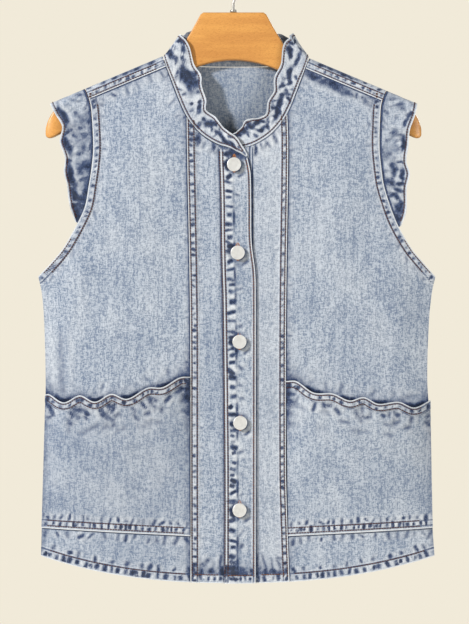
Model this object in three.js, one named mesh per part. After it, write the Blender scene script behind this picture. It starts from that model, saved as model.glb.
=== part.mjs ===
// A sleeveless denim vest with a frilled stand collar and ruffled caps, on a wooden hanger.
// Millimetres. +Z is up, the front faces -Y, and +X is to the right as seen from the front.
// The origin is the inside top of the hanger's hook, where a rail or peg carries it.
import * as THREE from "three";

// Cloth
const CLOTH = 1.4; // one layer of denim
const FOLDED = 2.4; // a folded band of denim
const SEAM = 0.3; // the space between two pieces
const EASE = 0.8; // the same along the curved seams of neck and armholes

// The hollow between front and back
const RIDGE = 8.5; // radius of the fold over the hanger's arms
const FRONT_DEPTH = 16; // how far the front stands out from the middle plane at the chest
const BACK_DEPTH = 13;
const HEM_KEEP = 0.7; // the share of both depths that is left at the hem
const PINCH = CLOTH + SEAM / 2; // the depth that is left at the side seams
const PINCH_POWER = 5;
const LEAN = { from: -180, to: -740, back: 10 }; // the hem lies this far back, towards a wall

// Shoulders and neck
const SHOULDER = { reach: 88, inner: 70, top: -115.3, slope: 0.42, seam: 15.6 };
const DEEPENS = 110; // the hollow has its full depth this far below the shoulder
const NECK = { x: 3.1, half: 88.2, top: SHOULDER.top, bottom: -226 };
const BACK_NECK_DIP = 2.5;
// The front neckline: how high it has risen at a distance from its lowest point
const NECKLINE = [
  { reach: 0, rise: 0 },
  { reach: 12, rise: 1.4 },
  { reach: 20, rise: 3.8 },
  { reach: 30, rise: 8.8 },
  { reach: 41, rise: 16.4 },
  { reach: 50, rise: 25.4 },
  { reach: 57, rise: 34.5 },
  { reach: 63, rise: 45.2 },
  { reach: 70, rise: 61.7 },
  { reach: 76.8, rise: 79.6 },
  { reach: 83.2, rise: 96.6 },
  { reach: 88.2, rise: 110.7 },
];

// Hem and the seam of the lower bands
const HEM = { middle: -745.5, rise: 31.5, power: 2.3 };
const BAND_SEAM = { outer: -680, inner: -688.8 };

// Edges as x to the left and right of the hook, from the hem up
const SIDE_SEAM = [
  { z: -714, left: -231.6, right: 241.8 },
  { z: -652, left: -230.2, right: 238.1 },
  { z: -598, left: -228.5, right: 237.4 },
  { z: -546, left: -226.6, right: 235.6 },
  { z: -500, left: -225.7, right: 232.8 },
  { z: -433, left: -227.2, right: 234.6 },
  { z: -399, left: -229.8, right: 237.8 },
  { z: -378, left: -234, right: 242 },
];
const ARMHOLE = [
  { z: -378, left: -234, right: 242 },
  { z: -361, left: -217.5, right: 226.5 },
  { z: -346, left: -204.6, right: 213.5 },
  { z: -332, left: -195.7, right: 204.5 },
  { z: -316, left: -186.6, right: 195.5 },
  { z: -295, left: -177, right: 187 },
  { z: -269, left: -172.2, right: 179 },
  { z: -248, left: -169, right: 176 },
  { z: -225, left: -167.2, right: 174 },
  { z: -188, left: -169, right: 175 },
  { z: -170, left: -171.4, right: 177 },
  { z: -152, left: -177.7, right: 183.6 },
];
const PRINCESS = [
  { z: -747, left: -51.5, right: 67 },
  { z: -640, left: -51.6, right: 63.3 },
  { z: -598, left: -51.6, right: 62.6 },
  { z: -417, left: -51.8, right: 62.6 },
  { z: -226, left: -55.2, right: 65 },
  { z: -180, left: -55.8, right: 63.8 },
];
const PLACKET = [
  { z: -747, left: -11.2, right: 26.4 },
  { z: -598, left: -11.2, right: 26.4 },
  { z: -406, left: -13.4, right: 26.4 },
  { z: -374, left: -14.4, right: 25.8 },
  { z: -337, left: -15.2, right: 21.5 },
  { z: -287, left: -15.8, right: 20.9 },
  { z: -256, left: -16.6, right: 20.2 },
  { z: -244, left: -17.2, right: 18 },
  { z: -236, left: -17.4, right: 16 },
  { z: -222, left: -17.6, right: 12 },
];
const PLACKET_LAP = 6; // the left centre panel reaches this far behind the over placket
const PLACKET_DIP = { from: -8, reach: 22, deep: 11, power: 1.5 }; // its top falls to the free edge
const UNDER_EDGE = 23.2; // x of the under placket's edge

// Patch pockets: a row for each crest and valley of the mouth's edge, from left to right
const POCKET_OPEN = 9.5; // how far the middle of the mouth stands off the panel
const POCKET_MOUTH = {
  left: [
    { x: -226, z: -520 },
    { x: -221, z: -519 },
    { x: -203, z: -528.6 },
    { x: -183, z: -519.8 },
    { x: -165, z: -527.4 },
    { x: -145.3, z: -517.8 },
    { x: -126.6, z: -523.8 },
    { x: -102.1, z: -510.6 },
    { x: -84.1, z: -510 },
    { x: -64.2, z: -498.6 },
    { x: -51.8, z: -497.8 },
  ],
  right: [
    { x: 62.6, z: -503 },
    { x: 75, z: -503 },
    { x: 95, z: -516.3 },
    { x: 118.2, z: -517.5 },
    { x: 137.9, z: -525.8 },
    { x: 154.9, z: -521.7 },
    { x: 172, z: -529.8 },
    { x: 197, z: -527.6 },
    { x: 216, z: -534.8 },
    { x: 236.4, z: -526.5 },
  ],
};

// Collar: its width along the strip, from the left front end round the back to the right one
const COLLAR_PROUD = 0.6; // it stands this much further out than the panels
const COLLAR_WIDTH = [
  { at: 0, width: 2 },
  { at: 0.023, width: 10 },
  { at: 0.05, width: 17.5 },
  { at: 0.074, width: 20.6 },
  { at: 0.1, width: 24.6 },
  { at: 0.119, width: 26 },
  { at: 0.15, width: 23.2 },
  { at: 0.163, width: 25.6 },
  { at: 0.178, width: 29.4 },
  { at: 0.22, width: 31.4 },
  { at: 0.234, width: 35 },
  { at: 0.252, width: 33.2 },
  { at: 0.275, width: 40.6 },
  { at: 0.296, width: 37.6 },
  { at: 0.318, width: 33 },
  { at: 0.345, width: 37 },
  { at: 0.384, width: 43 },
  { at: 0.44, width: 40 },
  { at: 0.56, width: 37 },
  { at: 0.616, width: 39 },
  { at: 0.66, width: 35 },
  { at: 0.69, width: 33 },
  { at: 0.725, width: 38 },
  { at: 0.742, width: 40.5 },
  { at: 0.762, width: 30.5 },
  { at: 0.783, width: 30.6 },
  { at: 0.807, width: 25 },
  { at: 0.838, width: 26.8 },
  { at: 0.876, width: 20.6 },
  { at: 0.895, width: 23.2 },
  { at: 0.942, width: 29.9 },
  { at: 0.98, width: 21 },
  { at: 1, width: 16.5 },
];
const COLLAR_ENDS = { left: [15, 10, 4.5], right: [-3, 3] }; // x of its first stations, from its front ends
const COLLAR_FRILL = { waves: 17, wave: 1.3 };
const COLLAR_START = 4.6; // the first even station's distance from the neckline's lowest point
const COLLAR_LEAN = 0.58; // the share of the lean that goes up instead of in, at the shoulder
const COLLAR_STAND = 0.82; // how steeply it stands there
const BACK_INSET = 1.2; // its foot moves in by this much at the back of the shoulder

// Cap sleeves: width from the armhole to the frilled edge, by the drop below the ridge
const SLEEVE_END = 157; // drop at which the strip runs out
const SLEEVE_WIDTH = [
  { drop: 0, left: 41.5, right: 37 },
  { drop: 22, left: 40.6, right: 39.5 },
  { drop: 46, left: 35.2, right: 35.4 },
  { drop: 68, left: 39.2, right: 34.2 },
  { drop: 89, left: 32.4, right: 30.4 },
  { drop: 103, left: 32, right: 32.4 },
  { drop: 118, left: 25.7, right: 26.2 },
  { drop: 133, left: 21.6, right: 21.1 },
  { drop: 144, left: 15.6, right: 15.1 },
  { drop: 151, left: 9, right: 9.2 },
  { drop: 157, left: 3, right: 3 },
];
const SLEEVE_FRILL = { pitch: 34, wave: 1.8 };

// Soft folds in the panels: place, half width, half length, rise outwards and slant
const FOLDS = {
  front: [
    { x: -196, z: -430, wide: 20, long: 120, rise: 1.8, slant: 0.12 },
    { x: -120, z: -330, wide: 30, long: 150, rise: 1.2, slant: -0.08 },
    { x: 126, z: -300, wide: 28, long: 140, rise: 1.3, slant: 0.06 },
    { x: 200, z: -440, wide: 18, long: 130, rise: 2, slant: -0.1 },
    { x: 150, z: -600, wide: 34, long: 150, rise: 0.8, slant: 0.05 },
    { x: -140, z: -610, wide: 30, long: 150, rise: 0.9, slant: -0.06 },
  ],
  back: [
    { x: -150, z: -420, wide: 26, long: 180, rise: 1.8, slant: 0.05 },
    { x: -60, z: -560, wide: 30, long: 190, rise: 1.4, slant: -0.04 },
    { x: 40, z: -470, wide: 28, long: 200, rise: 1.6, slant: 0.03 },
    { x: 140, z: -540, wide: 26, long: 190, rise: 1.9, slant: -0.05 },
  ],
};

// Shank buttons, from the top down
const BUTTONS = [
  { x: 0.7, z: -245.4 },
  { x: 5, z: -350.1 },
  { x: 7.1, z: -456.1 },
  { x: 8, z: -552.8 },
  { x: 7.2, z: -657.4 },
];
const BUTTON = { radius: 8.6, foot: 4.4, shank: 1.5, cap: 2.4, dish: 0.3, sides: 16 };

// Hanger
const HANGER = { half: 5.5, round: 4.8, tip: 225, tipZ: -206, clear: 2.1, bows: 188, nose: 212 };
const HANGER_TOP = [
  { reach: 0, z: -62 },
  { reach: 12, z: -62 },
  { reach: 24, z: -62 },
  { reach: 36, z: -62 },
  { reach: 39.5, z: -64.5 },
  { reach: 49, z: -82 },
  { reach: 57, z: -95 },
  { reach: 63, z: -104 },
  { reach: 72, z: -112.5 },
  { reach: 82, z: -119 },
  { reach: 90, z: -121 },
  { reach: 108, z: -125.8 },
];
const HANGER_ARCH = { top: -119, bend: 0.0042, until: 60, slope: 0.495 };
const HOOK = { wire: 1.7, inside: 20, stem: -48, turn: 205, start: -72 };
const FERRULE = { outer: 4.2, height: 3.2 };

const clamp = THREE.MathUtils.clamp;
const lerp = THREE.MathUtils.lerp;
const soft = (t) => THREE.MathUtils.smoothstep(t, 0, 1);
const radians = THREE.MathUtils.degToRad;
const steps = (from, to, n) => Array.from({ length: n + 1 }, (_, i) => lerp(from, to, i / n));
const joined = (...lists) => lists.flatMap((list, i) => (i ? list.slice(1) : list));
const rising = (list) => list.toSorted((a, b) => a - b);
const inward = { left: 1, right: -1 };

// A column of a table as a smooth curve through its rows, which are sorted by the key
function column(table, key, name, at) {
  const last = table.length - 1;
  let k = 0;
  while (k < last - 1 && at > table[k + 1][key]) k++;
  const [a, b] = [table[k], table[k + 1]];
  const span = b[key] - a[key];
  const t = clamp((at - a[key]) / span, 0, 1);
  const grade = (i) => {
    const [p, q] = [table[Math.max(i - 1, 0)], table[Math.min(i + 1, last)]];
    return (q[name] - p[name]) / (q[key] - p[key]);
  };
  const [t2, t3] = [t * t, t * t * t];
  return (
    (2 * t3 - 3 * t2 + 1) * a[name] +
    (t3 - 2 * t2 + t) * span * grade(k) +
    (3 * t2 - 2 * t3) * b[name] +
    (t3 - t2) * span * grade(k + 1)
  );
}

// The distance at which a rising curve passes a goal
function crossing(curve, goal, far) {
  let near = 0;
  for (let i = 0; i < 30; i++) {
    const middle = (near + far) / 2;
    if (curve(middle) < goal) near = middle;
    else far = middle;
  }
  return near;
}

const tipZ = ARMHOLE[0].z;
const sideX = (z, side) => column(SIDE_SEAM, "z", side, Math.min(z, tipZ));
const armholeX = (z, side) => column(ARMHOLE, "z", side, z);
const outerX = (z, side) => (z < tipZ ? sideX(z, side) : armholeX(z, side));
const princessX = (z, side) => column(PRINCESS, "z", side, z);
const placketX = (z, side) => column(PLACKET, "z", side, z);

const ridgeZ = (x) => SHOULDER.top - SHOULDER.slope * (Math.max(SHOULDER.inner, Math.abs(x)) - SHOULDER.reach);
const sideOf = (x) => (x < 0 ? "left" : "right");
const hemZ = (x) => HEM.middle + HEM.rise * Math.abs(x / sideX(HEM.middle, sideOf(x))) ** HEM.power;

// The front neckline is a narrow U, and the over placket's top falls below it at the free edge
const neckZ = (x) =>
  NECK.bottom + column(NECKLINE, "reach", "rise", Math.min(Math.abs(x - NECK.x), NECK.half));
function neckX(z, side) {
  const reach = crossing((r) => neckZ(NECK.x + r), z, NECK.half);
  return NECK.x - inward[side] * reach;
}
function placketTopZ(x) {
  const { from, reach, deep, power } = PLACKET_DIP;
  return neckZ(x) - deep * (Math.max(0, x - from) / reach) ** power;
}
const backNeckZ = (x) =>
  SHOULDER.top - RIDGE - BACK_NECK_DIP * (1 - Math.min(1, Math.abs(x - NECK.x) / NECK.half) ** 2);

// Outer faces of the front and the back
function foldRise(folds, x, z) {
  let rise = 0;
  for (const f of folds) {
    const across = (x - f.x - f.slant * (z - f.z)) / f.wide;
    const along = (z - f.z) / f.long;
    rise += f.rise * Math.exp(-across * across - along * along);
  }
  return rise;
}
function depth(x, z, full, folds) {
  const drop = ridgeZ(x) - z;
  if (drop < RIDGE) return Math.sqrt(Math.max(0, RIDGE ** 2 - (RIDGE - drop) ** 2));
  const share = Math.min(1, Math.abs(x / sideX(z, sideOf(x))));
  const open = 1 - share ** PINCH_POWER;
  const keep = lerp(1, HEM_KEEP, soft((tipZ - z) / (tipZ - HEM.middle)));
  const hollow = PINCH + (full * keep - PINCH + foldRise(folds, x, z)) * open;
  return lerp(RIDGE, hollow, soft((drop - RIDGE) / DEEPENS));
}
const middleY = (z) => LEAN.back * soft((LEAN.from - z) / (LEAN.from - LEAN.to));
const frontY = (x, z) => middleY(z) - depth(x, z, FRONT_DEPTH, FOLDS.front);
const backY = (x, z) => middleY(z) + depth(x, z, BACK_DEPTH, FOLDS.back);

// A closed cloth wall from a grid of outer points, whose rows run upwards and whose columns run
// to the right as seen from outside. The inner face lies a wall further in, along the normals.
function wall(rows, thick, present = () => true) {
  const high = rows.length;
  const wide = rows[0].length;
  const at = (j, i) => j * wide + i;
  const outer = rows.flat();
  const normals = outer.map(() => new THREE.Vector3());
  const cells = [];
  for (let j = 0; j < high - 1; j++) {
    for (let i = 0; i < wide - 1; i++) {
      if (!present(j, i)) continue;
      const cell = [at(j, i), at(j, i + 1), at(j + 1, i + 1), at(j + 1, i)];
      cells.push(cell);
      const [a, b, c, d] = cell.map((k) => outer[k]);
      const normal = c.clone().sub(a).cross(d.clone().sub(b));
      cell.forEach((k) => normals[k].add(normal));
    }
  }
  const count = outer.length;
  const inner = outer.map((p, k) => p.clone().addScaledVector(normals[k].normalize(), -thick));
  const faces = [];
  const edges = new Set();
  for (const [a, b, c, d] of cells) {
    faces.push(a, b, c, a, c, d);
    faces.push(a + count, c + count, b + count, a + count, d + count, c + count);
    [[a, b], [b, c], [c, d], [d, a]].forEach(([p, q]) => edges.add(`${p} ${q}`));
  }
  for (const edge of edges) {
    const [p, q] = edge.split(" ").map(Number);
    if (edges.has(`${q} ${p}`)) continue;
    faces.push(q, p, p + count, q, p + count, q + count);
  }
  return solid([...outer, ...inner], faces);
}

// A geometry that holds only the points that its faces use
function solid(points, faces) {
  const used = new Map();
  const flat = [];
  const index = faces.map((k) => {
    if (!used.has(k)) {
      used.set(k, used.size);
      flat.push(points[k].x, points[k].y, points[k].z);
    }
    return used.get(k);
  });
  const geometry = new THREE.BufferGeometry();
  geometry.setAttribute("position", new THREE.Float32BufferAttribute(flat, 3));
  geometry.setIndex(index);
  geometry.computeVertexNormals();
  return geometry;
}

// A grid in the front view between four edges, each a function from 0 to 1 that gives [x, z]
function patch(edge, us, vs) {
  const [a, b, c, d] = [edge.bottom(0), edge.bottom(1), edge.top(0), edge.top(1)];
  return vs.map((v) =>
    us.map((u) => {
      const [low, high, left, right] = [edge.bottom(u), edge.top(u), edge.left(v), edge.right(v)];
      return [0, 1].map(
        (k) =>
          (1 - v) * low[k] + v * high[k] + (1 - u) * left[k] + u * right[k] -
          (1 - u) * ((1 - v) * a[k] + v * c[k]) - u * ((1 - v) * b[k] + v * d[k]),
      );
    }),
  );
}
const raise = (grid, y) => grid.map((row) => row.map(([x, z]) => new THREE.Vector3(x, y(x, z), z)));
const along = (xOf, from, to) => (t) => {
  const z = lerp(from, to, t);
  return [xOf(z), z];
};
const across = (zOf, from, to) => (t) => {
  const x = lerp(from, to, t);
  return [x, zOf(x)];
};

// Front side panels
const bandSeamZ = (x, side) => {
  const [from, to] = [sideX(BAND_SEAM.outer, side), princessX(BAND_SEAM.inner, side)];
  return lerp(BAND_SEAM.outer, BAND_SEAM.inner, clamp((x - from) / (to - from), 0, 1));
};
const shoulderSeamZ = (x) => ridgeZ(x) - SHOULDER.seam;

// The x where the forward shoulder seam meets a line that is given by height
function meet(xOf, drop, from) {
  let x = from;
  for (let i = 0; i < 12; i++) x = xOf(ridgeZ(x) - drop);
  return x;
}
// The height where the neckline leaves the princess seam
function cornerZ(side) {
  let z = -190;
  for (let i = 0; i < 12; i++) z = neckZ(princessX(z, side));
  return z;
}

function sidePanel(side) {
  const armX = meet((z) => armholeX(z, side), SHOULDER.seam, inward[side] * -175);
  const neckAt = meet((z) => neckX(z, side), SHOULDER.seam, inward[side] * -84);
  const corner = cornerZ(side);
  const gap = SEAM * inward[side];
  const outer = along((z) => outerX(z, side), BAND_SEAM.outer, shoulderSeamZ(armX));
  const innerX = (z) => (z < corner ? princessX(z, side) - gap : neckX(z, side));
  const inner = along(innerX, BAND_SEAM.inner, shoulderSeamZ(neckAt));
  const bottom = [sideX(BAND_SEAM.outer, side), innerX(BAND_SEAM.inner)];
  const top = [armX, neckAt];
  if (side === "right") [bottom, top].forEach((ends) => ends.reverse());
  const vTip = (tipZ - BAND_SEAM.outer) / (shoulderSeamZ(armX) - BAND_SEAM.outer);
  const vCorner = (corner - BAND_SEAM.inner) / (shoulderSeamZ(neckAt) - BAND_SEAM.inner);
  const vs = joined(steps(0, vTip, 9), steps(vTip, vCorner, 10), steps(vCorner, 1, 3));
  const edge = {
    bottom: across((x) => bandSeamZ(x, side), ...bottom),
    top: across(shoulderSeamZ, ...top),
    left: side === "left" ? outer : inner,
    right: side === "left" ? inner : outer,
  };
  return wall(raise(patch(edge, steps(0, 1, 11), vs), frontY), CLOTH);
}

function lowerBand(side) {
  const gap = SEAM * inward[side];
  const top = (x) => bandSeamZ(x, side) - SEAM;
  const xs = rising([sideX(HEM.middle, side), princessX(HEM.middle, side) - gap]);
  const tops = rising([sideX(BAND_SEAM.outer, side), princessX(BAND_SEAM.inner, side) - gap]);
  const edge = {
    bottom: across(hemZ, ...xs),
    top: across(top, ...tops),
    left: (t) => [lerp(xs[0], tops[0], t), lerp(hemZ(xs[0]), top(tops[0]), t)],
    right: (t) => [lerp(xs[1], tops[1], t), lerp(hemZ(xs[1]), top(tops[1]), t)],
  };
  return wall(raise(patch(edge, steps(0, 1, 11), steps(0, 1, 3)), frontY), CLOTH);
}

// A strip between two edges given as x by height, from the hem to the neckline
function frontStrip(leftX, rightX, lift, thick, columns, rows, topZ = neckZ) {
  const grid = steps(0, 1, rows).map((v) =>
    steps(0, 1, columns).map((u) => {
      const rough = lerp(HEM.middle, NECK.bottom, v);
      const xNear = lerp(leftX(rough), rightX(rough), u);
      const z = lerp(hemZ(xNear), topZ(xNear), v);
      const x = lerp(leftX(z), rightX(z), u);
      return [x, v === 1 ? topZ(x) : z];
    }),
  );
  return wall(raise(grid, (x, z) => frontY(x, z) - lift), thick);
}
function centrePanel(side) {
  const seamX = (z) => princessX(z, side);
  if (side === "left") return frontStrip(seamX, (z) => placketX(z, "left") + PLACKET_LAP, 0, CLOTH, 4, 24);
  return frontStrip(() => UNDER_EDGE + SEAM, seamX, 0, CLOTH, 4, 24);
}
function underPlacket() {
  const leftX = (z) => placketX(z, "left") + PLACKET_LAP + SEAM;
  return frontStrip(leftX, () => UNDER_EDGE, 0, FOLDED, 3, 24);
}
const PLACKET_LIFT = FOLDED + SEAM;
function overPlacket() {
  const [leftX, rightX] = ["left", "right"].map((side) => (z) => placketX(z, side));
  return frontStrip(leftX, rightX, PLACKET_LIFT, FOLDED, 4, 30, placketTopZ);
}

// Patch pocket: it lies on the panel at its sides and foot, and its mouth stands open
function pocketLift(u, v) {
  const spread = 1 - Math.abs(2 * u - 1) ** 4;
  return SEAM + CLOTH + POCKET_OPEN * spread * v ** 1.3;
}
function pocket(side) {
  const rows = POCKET_MOUTH[side];
  const gap = SEAM * inward[side];
  const foot = rising([sideX(BAND_SEAM.outer, side), princessX(BAND_SEAM.inner, side) - gap]);
  const mouth = [rows[0].x, rows.at(-1).x];
  mouth[side === "left" ? 1 : 0] -= gap;
  const us = steps(0, 1, 26);
  const grid = steps(0, 1, 8).map((v) =>
    us.map((u) => {
      const [xFoot, xMouth] = [lerp(...foot, u), lerp(...mouth, u)];
      const x = lerp(xFoot, xMouth, v);
      const z = lerp(bandSeamZ(xFoot, side), column(rows, "x", "z", xMouth), v);
      return new THREE.Vector3(x, frontY(x, z) - pocketLift(u, v), z);
    }),
  );
  return wall(grid, CLOTH);
}

// Back panel: from the hem up to the neck, and over the ridge to the forward shoulder seams
const SHOULDER_CELLS = 5;
const NECK_CELLS = 9;
function backPanel() {
  const neckEnd = { left: NECK.x - NECK.half, right: NECK.x + NECK.half };
  const armEnd = {};
  for (const side of ["left", "right"]) {
    armEnd[side] = meet((z) => armholeX(z, side), RIDGE, inward[side] * -175);
  }
  const xs = joined(
    steps(armEnd.left, neckEnd.left, SHOULDER_CELLS),
    steps(neckEnd.left, neckEnd.right, NECK_CELLS),
    steps(neckEnd.right, armEnd.right, SHOULDER_CELLS),
  );
  const isNeck = (x) => x > neckEnd.left - 0.01 && x < neckEnd.right + 0.01;
  const topZ = (x) => (isNeck(x) ? backNeckZ(x) : ridgeZ(x) - RIDGE);
  const low = [sideX(HEM.middle, "left"), sideX(HEM.middle, "right")];
  const vTip = (tipZ - hemZ(low[0])) / (topZ(armEnd.left) - hemZ(low[0]));
  const vs = joined(steps(0, vTip, 11), steps(vTip, 1, 11));
  const edge = {
    bottom: across(hemZ, ...low),
    top: across(topZ, armEnd.left, armEnd.right),
    left: along((z) => outerX(z, "left"), hemZ(low[0]), topZ(armEnd.left)),
    right: along((z) => outerX(z, "right"), hemZ(low[1]), topZ(armEnd.right)),
  };
  const us = xs.map((x) => (x - armEnd.left) / (armEnd.right - armEnd.left));
  const grid = raise(patch(edge, us, vs), backY);

  // Rows over the ridge: the turn is 90 degrees at the back, 0 on top and -90 at the front
  const turns = [60, 30, 0, -30, -60, -90].map(radians);
  const over = turns.map((turn) => ({ turn, drop: RIDGE * (1 - Math.cos(turn)) }));
  over.push({ turn: -Math.PI / 2, drop: SHOULDER.seam - SEAM });
  for (const { turn, drop } of over) {
    const ends = {};
    for (const side of ["left", "right"]) {
      const onFront = meet((z) => neckX(z, side), drop, neckEnd[side]);
      ends[side] = {
        arm: meet((z) => armholeX(z, side), drop, armEnd[side]),
        neck: turn < 0 ? onFront : neckEnd[side],
      };
    }
    const row = xs.map((x) => {
      const side = x < NECK.x ? "left" : "right";
      const share = isNeck(x) ? 1 : (x - armEnd[side]) / (neckEnd[side] - armEnd[side]);
      const at = lerp(ends[side].arm, ends[side].neck, share);
      const z = ridgeZ(at) - drop;
      return new THREE.Vector3(at, drop > RIDGE ? frontY(at, z) : RIDGE * Math.sin(turn), z);
    });
    grid.push(row);
  }
  const isShoulder = (i) => i < SHOULDER_CELLS || i >= SHOULDER_CELLS + NECK_CELLS;
  const fromBehind = grid.map((row) => row.toReversed());
  return wall(fromBehind, CLOTH, (j, i) => j < vs.length - 1 || isShoulder(i));
}

// Cap sleeve: a frilled strip along the armhole, from the front over the ridge to the back
function capSleeve(side) {
  const out = -inward[side];
  const { pitch, wave } = SLEEVE_FRILL;
  const drops = steps(SLEEVE_END, RIDGE, 23);
  const stations = [
    ...drops.map((drop) => ({ drop, facing: -1 })),
    ...[-60, -30, 0, 30, 60].map(radians).map((turn) => ({ turn, facing: Math.sin(turn) })),
    ...drops.toReversed().map((drop) => ({ drop, facing: 1 })),
  ];
  const grid = stations.map(({ drop: below, turn, facing }) => {
    const drop = below ?? RIDGE * (1 - Math.cos(turn));
    const x0 = meet((z) => armholeX(z, side), drop, out * 178) + out * EASE;
    const z0 = ridgeZ(x0) - drop;
    const y0 = turn === undefined ? (facing < 0 ? frontY : backY)(x0, z0) : RIDGE * facing;
    const phase = (2 * Math.PI * drop) / pitch;
    const width = column(SLEEVE_WIDTH, "drop", side, drop);
    const sag = SHOULDER.slope * width * (1 - soft(drop / 70));
    const sway = facing * (0.5 + wave * Math.sin(phase) * soft(drop / 30));
    const rows = [0, 0.4, 0.75, 1].map(
      (share) => new THREE.Vector3(x0 + out * width * share, y0 + sway * share ** 2, z0 - sag * share),
    );
    return side === "left" ? rows.reverse() : rows;
  });
  return wall(grid, CLOTH);
}

// Collar: a strip that stands on the neckline and runs round the neck. A station is a point of
// its foot with the direction in which the strip stands there.
function frontStation(x, lift, footZ) {
  const z = footZ(x);
  const across = new THREE.Vector2(footZ(x - 0.5) - footZ(x + 0.5), 1).normalize();
  const up = COLLAR_LEAN * (1 - soft((NECK.top - z - RIDGE) / 40));
  const dir = new THREE.Vector3(across.x * (1 - up), 0, across.y * (1 - up) + up).normalize();
  const y = frontY(x, z) - COLLAR_PROUD - lift;
  return { at: new THREE.Vector3(x + across.x * EASE, y, z + across.y * EASE), dir };
}
function shoulderStation(side, turn) {
  const z = SHOULDER.top - RIDGE * (1 - Math.cos(turn));
  const foot = neckX(turn < 0 ? z : SHOULDER.top, side);
  const x = foot + inward[side] * (EASE + BACK_INSET * Math.max(0, Math.sin(turn)));
  const dir = new THREE.Vector3(inward[side] * COLLAR_LEAN, 0, COLLAR_STAND).normalize();
  return { at: new THREE.Vector3(x, (RIDGE + COLLAR_PROUD) * Math.sin(turn), z + EASE), dir };
}
function backStation(reach) {
  const x = NECK.x + reach;
  const z = backNeckZ(x);
  const lean = -COLLAR_LEAN * Math.sign(reach) * Math.abs(reach / NECK.half) ** 3;
  const dir = new THREE.Vector3(lean, 0.06, 0.95).normalize();
  return { at: new THREE.Vector3(x, backY(x, z) + COLLAR_PROUD, z + EASE), dir };
}
function collarStations() {
  // The left end laps over the placket, and the right end lies behind it
  const lift = {
    left: (x) => (PLACKET_LIFT - COLLAR_PROUD) * soft((x + 45) / 40),
    right: (x) => (FOLDED + SEAM + COLLAR_PROUD) * (soft((x - 8) / 25) - 1),
  };
  // Even stations on the front, as reach plus rise, up to where the shoulder begins
  const climb = (reach) => reach + neckZ(NECK.x + reach) - NECK.bottom;
  const top = crossing((reach) => neckZ(NECK.x + reach), NECK.top - RIDGE, NECK.half);
  const reaches = steps(climb(COLLAR_START), climb(top), 22).map((goal) => crossing(climb, goal, NECK.half));
  const side = { left: [], right: [] };
  for (const name of ["left", "right"]) {
    const footZ = name === "left" ? placketTopZ : neckZ;
    const xs = [...COLLAR_ENDS[name], ...reaches.map((reach) => NECK.x - inward[name] * reach)];
    side[name].push(...xs.map((x) => frontStation(x, lift[name](x), footZ)));
    side[name].push(...[-60, -30, 0, 30, 60, 90].map((turn) => shoulderStation(name, radians(turn))));
  }
  const reach = NECK.half - 12;
  return [...side.left, ...steps(-reach, reach, 20).map(backStation), ...side.right.reverse()];
}
function collar() {
  const list = collarStations();
  const lengths = [0];
  for (let i = 1; i < list.length; i++) {
    lengths.push(lengths[i - 1] + list[i].at.distanceTo(list[i - 1].at));
  }
  const { waves, wave } = COLLAR_FRILL;
  const grid = list.map(({ at, dir }, i) => {
    const share = lengths[i] / lengths.at(-1);
    const phase = 2 * Math.PI * waves * share;
    const even = soft(share / 0.06) * soft((1 - share) / 0.06);
    const width = column(COLLAR_WIDTH, "at", "width", share);
    const ahead = list[Math.min(i + 1, list.length - 1)].at;
    const normal = ahead.clone().sub(list[Math.max(i - 1, 0)].at).cross(dir).normalize();
    const sway = wave * Math.sin(phase) * even;
    return [0, 0.35, 0.7, 1].map((up) =>
      at.clone().addScaledVector(dir, width * up).addScaledVector(normal, sway * up ** 2),
    );
  });
  return wall(grid, FOLDED);
}

// Shank button: a flat cap with a rolled rim on a short foot, turned about its own axis
function button({ x, z }) {
  const { radius, foot, shank, cap, dish, sides } = BUTTON;
  const profile = [
    [0, 0],
    [foot, 0],
    [foot, shank],
    [radius - 0.8, shank + 0.2],
    [radius, shank + cap * 0.45],
    [radius - 0.5, shank + cap * 0.9],
    [radius - 1.6, shank + cap],
    [radius * 0.5, shank + cap - dish],
    [0, shank + cap - dish],
  ].map(([r, h]) => new THREE.Vector2(r, h));
  const geometry = new THREE.LatheGeometry(profile, sides);
  geometry.rotateX(Math.PI);
  geometry.translate(x, frontY(x, z) - PLACKET_LIFT - SEAM, z);
  return geometry;
}

// Hanger body: rounded sections along its length
function hangerTop(reach) {
  if (reach <= HANGER_TOP.at(-1).reach) {
    const k = HANGER_TOP.findIndex((row) => row.reach >= reach);
    if (k === 0) return HANGER_TOP[0].z;
    const [a, b] = [HANGER_TOP[k - 1], HANGER_TOP[k]];
    return lerp(a.z, b.z, (reach - a.reach) / (b.reach - a.reach));
  }
  const line = ridgeZ(reach) - HANGER.clear;
  const q = clamp((reach - HANGER.bows) / (HANGER.tip - HANGER.bows), 0, 1);
  return line - (ridgeZ(HANGER.tip) - HANGER.clear - HANGER.tipZ - 2) * (1 - Math.sqrt(1 - q * q));
}
function hangerFoot(reach) {
  const { top, bend, until, slope } = HANGER_ARCH;
  const arch = top - bend * Math.min(reach, until) ** 2 - slope * Math.max(0, reach - until);
  const q = clamp((reach - HANGER.nose) / (HANGER.tip - HANGER.nose), 0, 1);
  return arch + (HANGER.tipZ - 2 - arch) * (1 - Math.sqrt(1 - q * q));
}
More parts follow.
